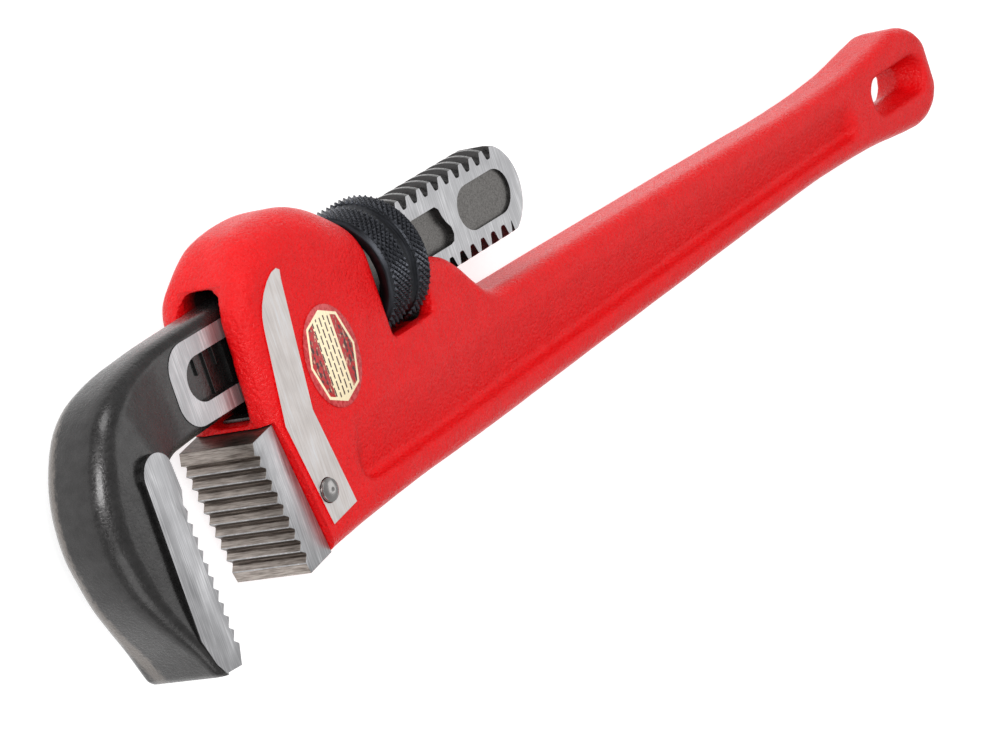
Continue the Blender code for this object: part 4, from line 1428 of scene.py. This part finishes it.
# ---- The adjusting nut ------------------------------------------------------------------
@dataclass
class AdjustingNut:
    """The nut: two knurled bands with a smooth cove between them."""

    radius: float = 17.75
    length: float = 18.4
    thread_root: float = 11.15
    knurl_depth: float = 0.74
    knurls: int = 62
    front_band: Point2 = (64.9, 72.6)
    rear_band: Point2 = (76.6, 81.2)

    def ring(self) -> bpy.types.Object:
        """The turned body, without its knurl."""
        x0, x1 = AXIS_X - self.length / 2, AXIS_X + self.length / 2
        base = self.radius - self.knurl_depth
        groove = self.radius - 1.5
        bore = self.thread_root
        profile = [
            (x0, self.radius - 2.1), (x0 + 0.25, self.radius - 1.6), (x0 + 0.9, base - 0.25),
            (x0 + 1.1, base), (self.front_band[1], base), (self.front_band[1] + 0.3, base - 0.5),
            (self.front_band[1] + 0.9, groove + 0.25), (self.front_band[1] + 1.7, groove),
            (self.rear_band[0] - 1.5, groove), (self.rear_band[0] - 0.8, groove + 0.3),
            (self.rear_band[0] - 0.3, base - 0.4), (self.rear_band[0], base),
            (self.rear_band[1] + 0.3, base), (x1 - 0.3, base - 0.8), (x1, base - 1.2),
        ]
        profile += [(float(x), bore) for x in np.linspace(x1, x0, 61)]
        nut = Bench.spun("nut", profile, 120, (AXIS_Y, 0.0))
        for vertex in nut.data.vertices:
            x, y, z = (Vector(vertex.co) - place(0.0, AXIS_Y, 0.0)) / MM
            if math.hypot(y, z) < bore + 0.1:
                turn = math.atan2(z, y)
                radius = self.thread_at(x, turn / (2 * math.pi))
                vertex.co = place(
                    x, AXIS_Y + radius * math.cos(turn), radius * math.sin(turn)
                )
        nut.data.update()
        return nut

    def thread_at(self, x: float, turn: float) -> float:
        """Radius of the inner thread, which follows the shank's helix with clearance.

        Args:
            x: the place along the axis.
            turn: how far round the axis, in turns, from the hump towards the label.

        Returns:
            The radius, opened out at both mouths.
        """
        pitches = (x - HookJaw.phase_x) / HookJaw.pitch - turn
        apart = abs(pitches - round(pitches)) * HookJaw.pitch
        share = min(max((apart - 1.2) / 0.63, 0.0), 1.0)
        outer = HookJaw.thread_radius + 0.32
        radius = outer + (self.thread_root - outer) * share
        inside = min(x - AXIS_X + self.length / 2, AXIS_X + self.length / 2 - x)
        return max(radius, outer + 0.4 - 1.9 * max(inside, 0.0))

    def knurl_row(self, x: float, half_step: bool) -> bpy.types.Object:
        """One row of pointed studs round the nut.

        Args:
            x: where the row is.
            half_step: turned by half a stud, so that rows interlock.

        Returns:
            The studs, as one mesh of small closed shells.
        """
        size = math.pi * self.radius / self.knurls
        top = self.radius - self.knurl_depth / 2 - 0.05
        bpy.ops.mesh.primitive_cone_add(
            vertices=4,
            radius1=size * 1.05 * MM,
            radius2=0.1 * MM,
            depth=(self.knurl_depth + 0.1) * MM,
            location=place(x, AXIS_Y, top),
        )
        stud = bpy.context.object
        bpy.ops.object.transform_apply(location=True, rotation=True, scale=True)
        centre, step = place(x, AXIS_Y, 0.0), 2 * math.pi / self.knurls
        Bench.open(stud)
        if half_step:
            bpy.ops.transform.rotate(
                value=step / 2, orient_axis="X", orient_type="GLOBAL", center_override=centre
            )
        bpy.ops.mesh.spin(
            steps=self.knurls, angle=2 * math.pi, center=centre, axis=(1, 0, 0), dupli=True
        )
        bpy.ops.mesh.select_all(action="SELECT")
        bpy.ops.mesh.remove_doubles(threshold=1e-7)
        Bench.close()
        return stud

    def build(self, smooth_steel: bpy.types.Material, knurl_steel: bpy.types.Material) -> None:
        """Models and dresses the nut.

        Args:
            smooth_steel: the turned faces.
            knurl_steel: the studs.
        """
        nut = self.ring()
        Bench.shade(nut, 35.0)
        Bench.dress(nut, (smooth_steel, knurl_steel))
        pitch = 2 * math.pi * self.radius / self.knurls
        rows = []
        for low, high in (self.front_band, self.rear_band):
            count = int((high - low) / (pitch / 2))
            edge = (high - low - (count - 1) * pitch / 2) / 2
            for i in range(count):
                row = self.knurl_row(low + edge + i * pitch / 2, i % 2 == 1)
                Bench.dress(row, (smooth_steel, knurl_steel))
                row.data.polygons.foreach_set(
                    "material_index", np.ones(len(row.data.polygons), np.int32)
                )
                rows.append(row)
        Bench.join(nut, rows)
        nut.name = "adjusting_nut_knurled"
        Bench.hand_in(nut, "adjusting_nut", "black_oxide_nut")


# ---- Small pieces -----------------------------------------------------------------------
@dataclass
class SmallPieces:
    """The heel jaw's pin, the leaf spring and its rivet, the coil spring and the label."""

    pin: Point3 = (17.4, -16.3, 3.1)
    land_half: float = 14.5
    slot_floor: float = 6.4
    rivet_x: float = 15.0
    leaf_thickness: float = 0.8
    coil_x: float = 50.0
    label_centre: Point2 = (35.7, 12.6)

    def build_pin(self, steel: bpy.types.Material) -> None:
        """The cross pin, with shallow domed ends, each with a small centre mark."""
        x, y, radius = self.pin
        face = self.land_half + 0.15
        dome = [(0.0, 0.0), (0.35, 0.12), (0.75, 0.34), (1.05, 0.66), (1.22, 0.86), (1.3, 0.97)]
        upper = [(face + h, radius * math.sqrt(max(1 - t * t, 0.0))) for h, t in dome]
        upper += [(face + 1.28, 0.45), (face + 1.12, 0.25), (face + 1.08, 0.01)]
        profile = [(-s, r) for s, r in reversed(upper)] + upper
        profile = [(s, max(r, 0.01)) for s, r in profile]
        pin = Bench.spun("pin", profile, 64, (x, y), "Z")
        Bench.shade(pin, 40.0)
        Bench.dress(pin, (steel,))
        pin.name = "heel_jaw_pin_domed"
        Bench.hand_in(pin, "heel_jaw_pin", "bright_steel")

    def build_leaf(self, steel: bpy.types.Material) -> None:
        """The leaf spring, bowed up to the shank."""
        base = self.slot_floor + 0.25
        rise = AXIS_Y - HookJaw.thread_radius - 0.35 - self.leaf_thickness - base
        low, high = [], []
        for i in range(41):
            t = i / 40
            x = self.rivet_x - 5.0 + 29.0 * t
            y = base + rise * ease((t - 0.3) / 0.55) - 0.5 * ease((t - 0.88) / 0.12)
            low.append((x, y))
            high.append((x, y + self.leaf_thickness))
        leaf = Bench.plate("leaf", low + high[::-1], -4.4, 4.4)
        hole = Bench.rod("leaf_hole", self.rivet_x, base - 3.0, base + 3.0, 1.75)
        Bench.combine(leaf, hole, Cut.REMOVE)
        Bench.bevel(leaf, 0.12, 2, 60.0)
        Bench.shade(leaf, 40.0)
        Bench.dress(leaf, (steel,))
        leaf.name = "flat_spring_leaf"
        ends = ((self.rivet_x + 4.0, base, 0.0), (self.rivet_x + 24.0, base, 0.0))
        Bench.hand_in(leaf, "flat_spring", "spring_steel", ends)

    def build_rivet(self, steel: bpy.types.Material) -> None:
        """The rivet's head on the leaf spring, with its short shank below."""
        base = self.slot_floor + 0.25 + self.leaf_thickness + 0.15
        rings = []
        sizes = ((-5.8, 1.4), (-5.6, 1.5), (0.0, 1.5), (0.0, 2.8), (0.1, 2.9), (0.25, 2.7))
        for lift, radius in (*sizes, (0.38, 2.3), (0.48, 1.7), (0.54, 0.9)):
            circle = arc(0.0, 0.0, radius, 0, 351, 39)
            rings.append([(self.rivet_x + u, base + lift, v) for u, v in circle])
        rivet = Bench.loft("rivet", rings)
        Bench.shade(rivet, 40.0)
        Bench.dress(rivet, (steel,))
        rivet.name = "flat_spring_rivet_head"
        Bench.hand_in(rivet, "flat_spring_rivet", "bright_steel")

    def build_coil(self, steel: bpy.types.Material) -> None:
        """The coil spring: a wire circle carried round and up, with closed end coils."""
        bottom = self.slot_floor - 10.5
        top = AXIS_Y - HookJaw.thread_radius - 1.0
        turns, radius, wire, steps = 6, 3.3, 0.55, 32
        rings = []
        for i in range(turns * steps + 1):
            t = i / (turns * steps)
            a = 2 * math.pi * turns * t
            y = bottom + (top - bottom) * (0.75 * t + 0.25 * ease(t))
            out = Vector((math.cos(a), 0.0, math.sin(a)))
            up = Vector((0.0, 1.0, 0.0))
            middle = Vector((self.coil_x, y, 0.0)) + out * radius
            circle = arc(0.0, 0.0, wire, 0, 330, 11)
            rings.append([tuple(middle + out * u + up * v) for u, v in circle])
        coil = Bench.loft("coil", rings)
        Bench.shade(coil, 60.0)
        Bench.dress(coil, (steel,))
        coil.name = "coil_spring_wire"
        ends = ((self.coil_x, bottom + 1.0, 0.0), (self.coil_x, top - 0.6, 0.0))
        Bench.hand_in(coil, "coil_spring", "spring_steel", ends)

    def build_label(self, film: bpy.types.Material) -> None:
        """The oval decal, its edge rolled down to the paint."""
        cx, cy = self.label_centre
        outline = [(cx + 10.8 * u, cy + 13.3 * v) for u, v in arc(0.0, 0.0, 1.0, 0, 356, 89)]
        label = Bench.plate("film", outline, 14.28, 14.5)
        Bench.bevel(label, 0.08, 2, 50.0)
        Bench.shade(label, 40.0)
        Bench.dress(label, (film,))
        label.name = "label_decal"
        Bench.hand_in(label, "label", "label_film")


# ---- Studio -----------------------------------------------------------------------------
@dataclass
class Studio:
    """The pale floor, the soft lights and the camera."""

    camera_at: Point3 = (-806.45, 236.61, 719.60)
    right: Point3 = (0.52949, -0.30965, 0.78978)
    up: Point3 = (0.35522, 0.92638, 0.12505)
    lens: float = 162.0

    def floor(self) -> None:
        """A wide, plain, pale floor."""
        bpy.ops.mesh.primitive_plane_add(size=14.0, location=(0.0, 0.0, -0.0004))
        plane = bpy.context.object
        plane.name = "floor"
        material, tree, shader = new_material("pale_paper_floor")
        tone = ramp(tree, grain(tree, (900.0, 900.0, 900.0), 1.0), [(0.3, "#B6B6B6"), (0.7, "#B8B8B8")])
        tree.links.new(tone, shader.inputs["Base Color"])
        shader.inputs["Roughness"].default_value = 0.9
        shader.inputs["Specular IOR Level"].default_value = 0.1
        shader.inputs["Emission Color"].default_value = srgb("#FFFFFF")
        shader.inputs["Emission Strength"].default_value = 0.72
        plane.data.materials.append(material)

    def light(self, name: str, towards: Point3, distance: float, size: float, power: float) -> None:
        """One large soft box, facing the tool.

        Args:
            name: the light's name.
            towards: direction from the tool to the light.
            distance: how far away, in metres.
            size: its side, in metres.
            power: its power, in watts.
        """
        direction = Vector(towards).normalized()
        middle = place(110.0, 0.0, 0.0)
        bpy.ops.object.light_add(type="AREA", location=middle + direction * distance)
        lamp = bpy.context.object
        lamp.name = name
        lamp.data.size = size
        lamp.data.energy = power
        lamp.rotation_euler = direction.to_track_quat("Z", "Y").to_euler()

    def camera(self) -> None:
        """A long lens on the side with the label, rolled so that the handle rises."""
        right, up = Vector(self.right), Vector(self.up)
        back = right.cross(up)
        bpy.ops.object.camera_add(location=place(*self.camera_at))
        camera = bpy.context.object
        camera.name = "camera"
        camera.rotation_euler = Matrix((right, up, back)).transposed().to_euler()
        camera.data.lens = self.lens
        camera.data.sensor_width = 36.0
        camera.data.clip_end = 100.0
        bpy.context.scene.camera = camera

    def build(self) -> None:
        """Sets the whole studio up."""
        self.floor()
        self.light("soft_box_above", (0.75, -0.05, 0.80), 1.7, 0.9, 3.2)
        self.light("soft_box_key", (-0.12, 0.90, 0.66), 1.6, 0.6, 7.0)
        self.light("soft_box_front", (-0.82, 0.36, 0.70), 2.0, 0.7, 22.0)
        self.light("soft_box_side", (-0.60, -0.50, 0.62), 1.9, 0.9, 5.0)
        world = bpy.data.worlds.new("studio_air")
        world.use_nodes = True
        world.node_tree.nodes["Background"].inputs["Color"].default_value = srgb("#FFFFFF")
        world.node_tree.nodes["Background"].inputs["Strength"].default_value = 0.58
        bpy.context.scene.world = world
        bpy.context.scene.view_settings.view_transform = "Standard"
        self.camera()


def main() -> None:
    """Builds every piece of the wrench, then the studio."""
    logging.basicConfig(level=logging.INFO, format="%(name)s: %(message)s")
    casting = Casting()
    ground = GroundMetal("ground_steel").build()
    iron = GroundMetal("ground_iron", "#C9C3C0", "#B0AAA7", 0.5, 9.0, 0.42).build()
    black = BlackForging().build()
    hardened = HardenedSteel().build()
    casting.build(RedEnamel().build(), iron)
    # A darker copy of the hardened steel: painted shade on the heel jaw's short flanks, roots, top and
    # end.
    scale = HardenedSteel("heel_painted_shade", "#6E645D", "#332C28").build()
    HeelJaw().build(ground, hardened, scale)
    bare = PlainSteel("sunk_forged_floor", "#7B7977", "#575553", 0.36).build()
    HookJaw().build(black, ground, bare, hardened)
    turned = BlackOxideSteel("black_oxide_turned").build()
    knurl = BlackOxideSteel("black_oxide_knurl", "#26272B", "#4C4E54", 0.25).build()
    AdjustingNut().build(turned, knurl)
    small = SmallPieces()
    polished = PlainSteel("polished_pin_steel", "#9E9C9B", "#8E8C8B", 0.14, 3.0).build()
    tempered = PlainSteel("tempered_spring_steel", "#7E7D7B", "#4A4A4A", 0.3).build()
    small.build_pin(polished)
    small.build_leaf(tempered)
    small.build_rivet(polished)
    small.build_coil(tempered)
    small.build_label(PrintedFilm(small.label_centre).build())
    Studio().build()


if __name__ == "__main__":
    main()
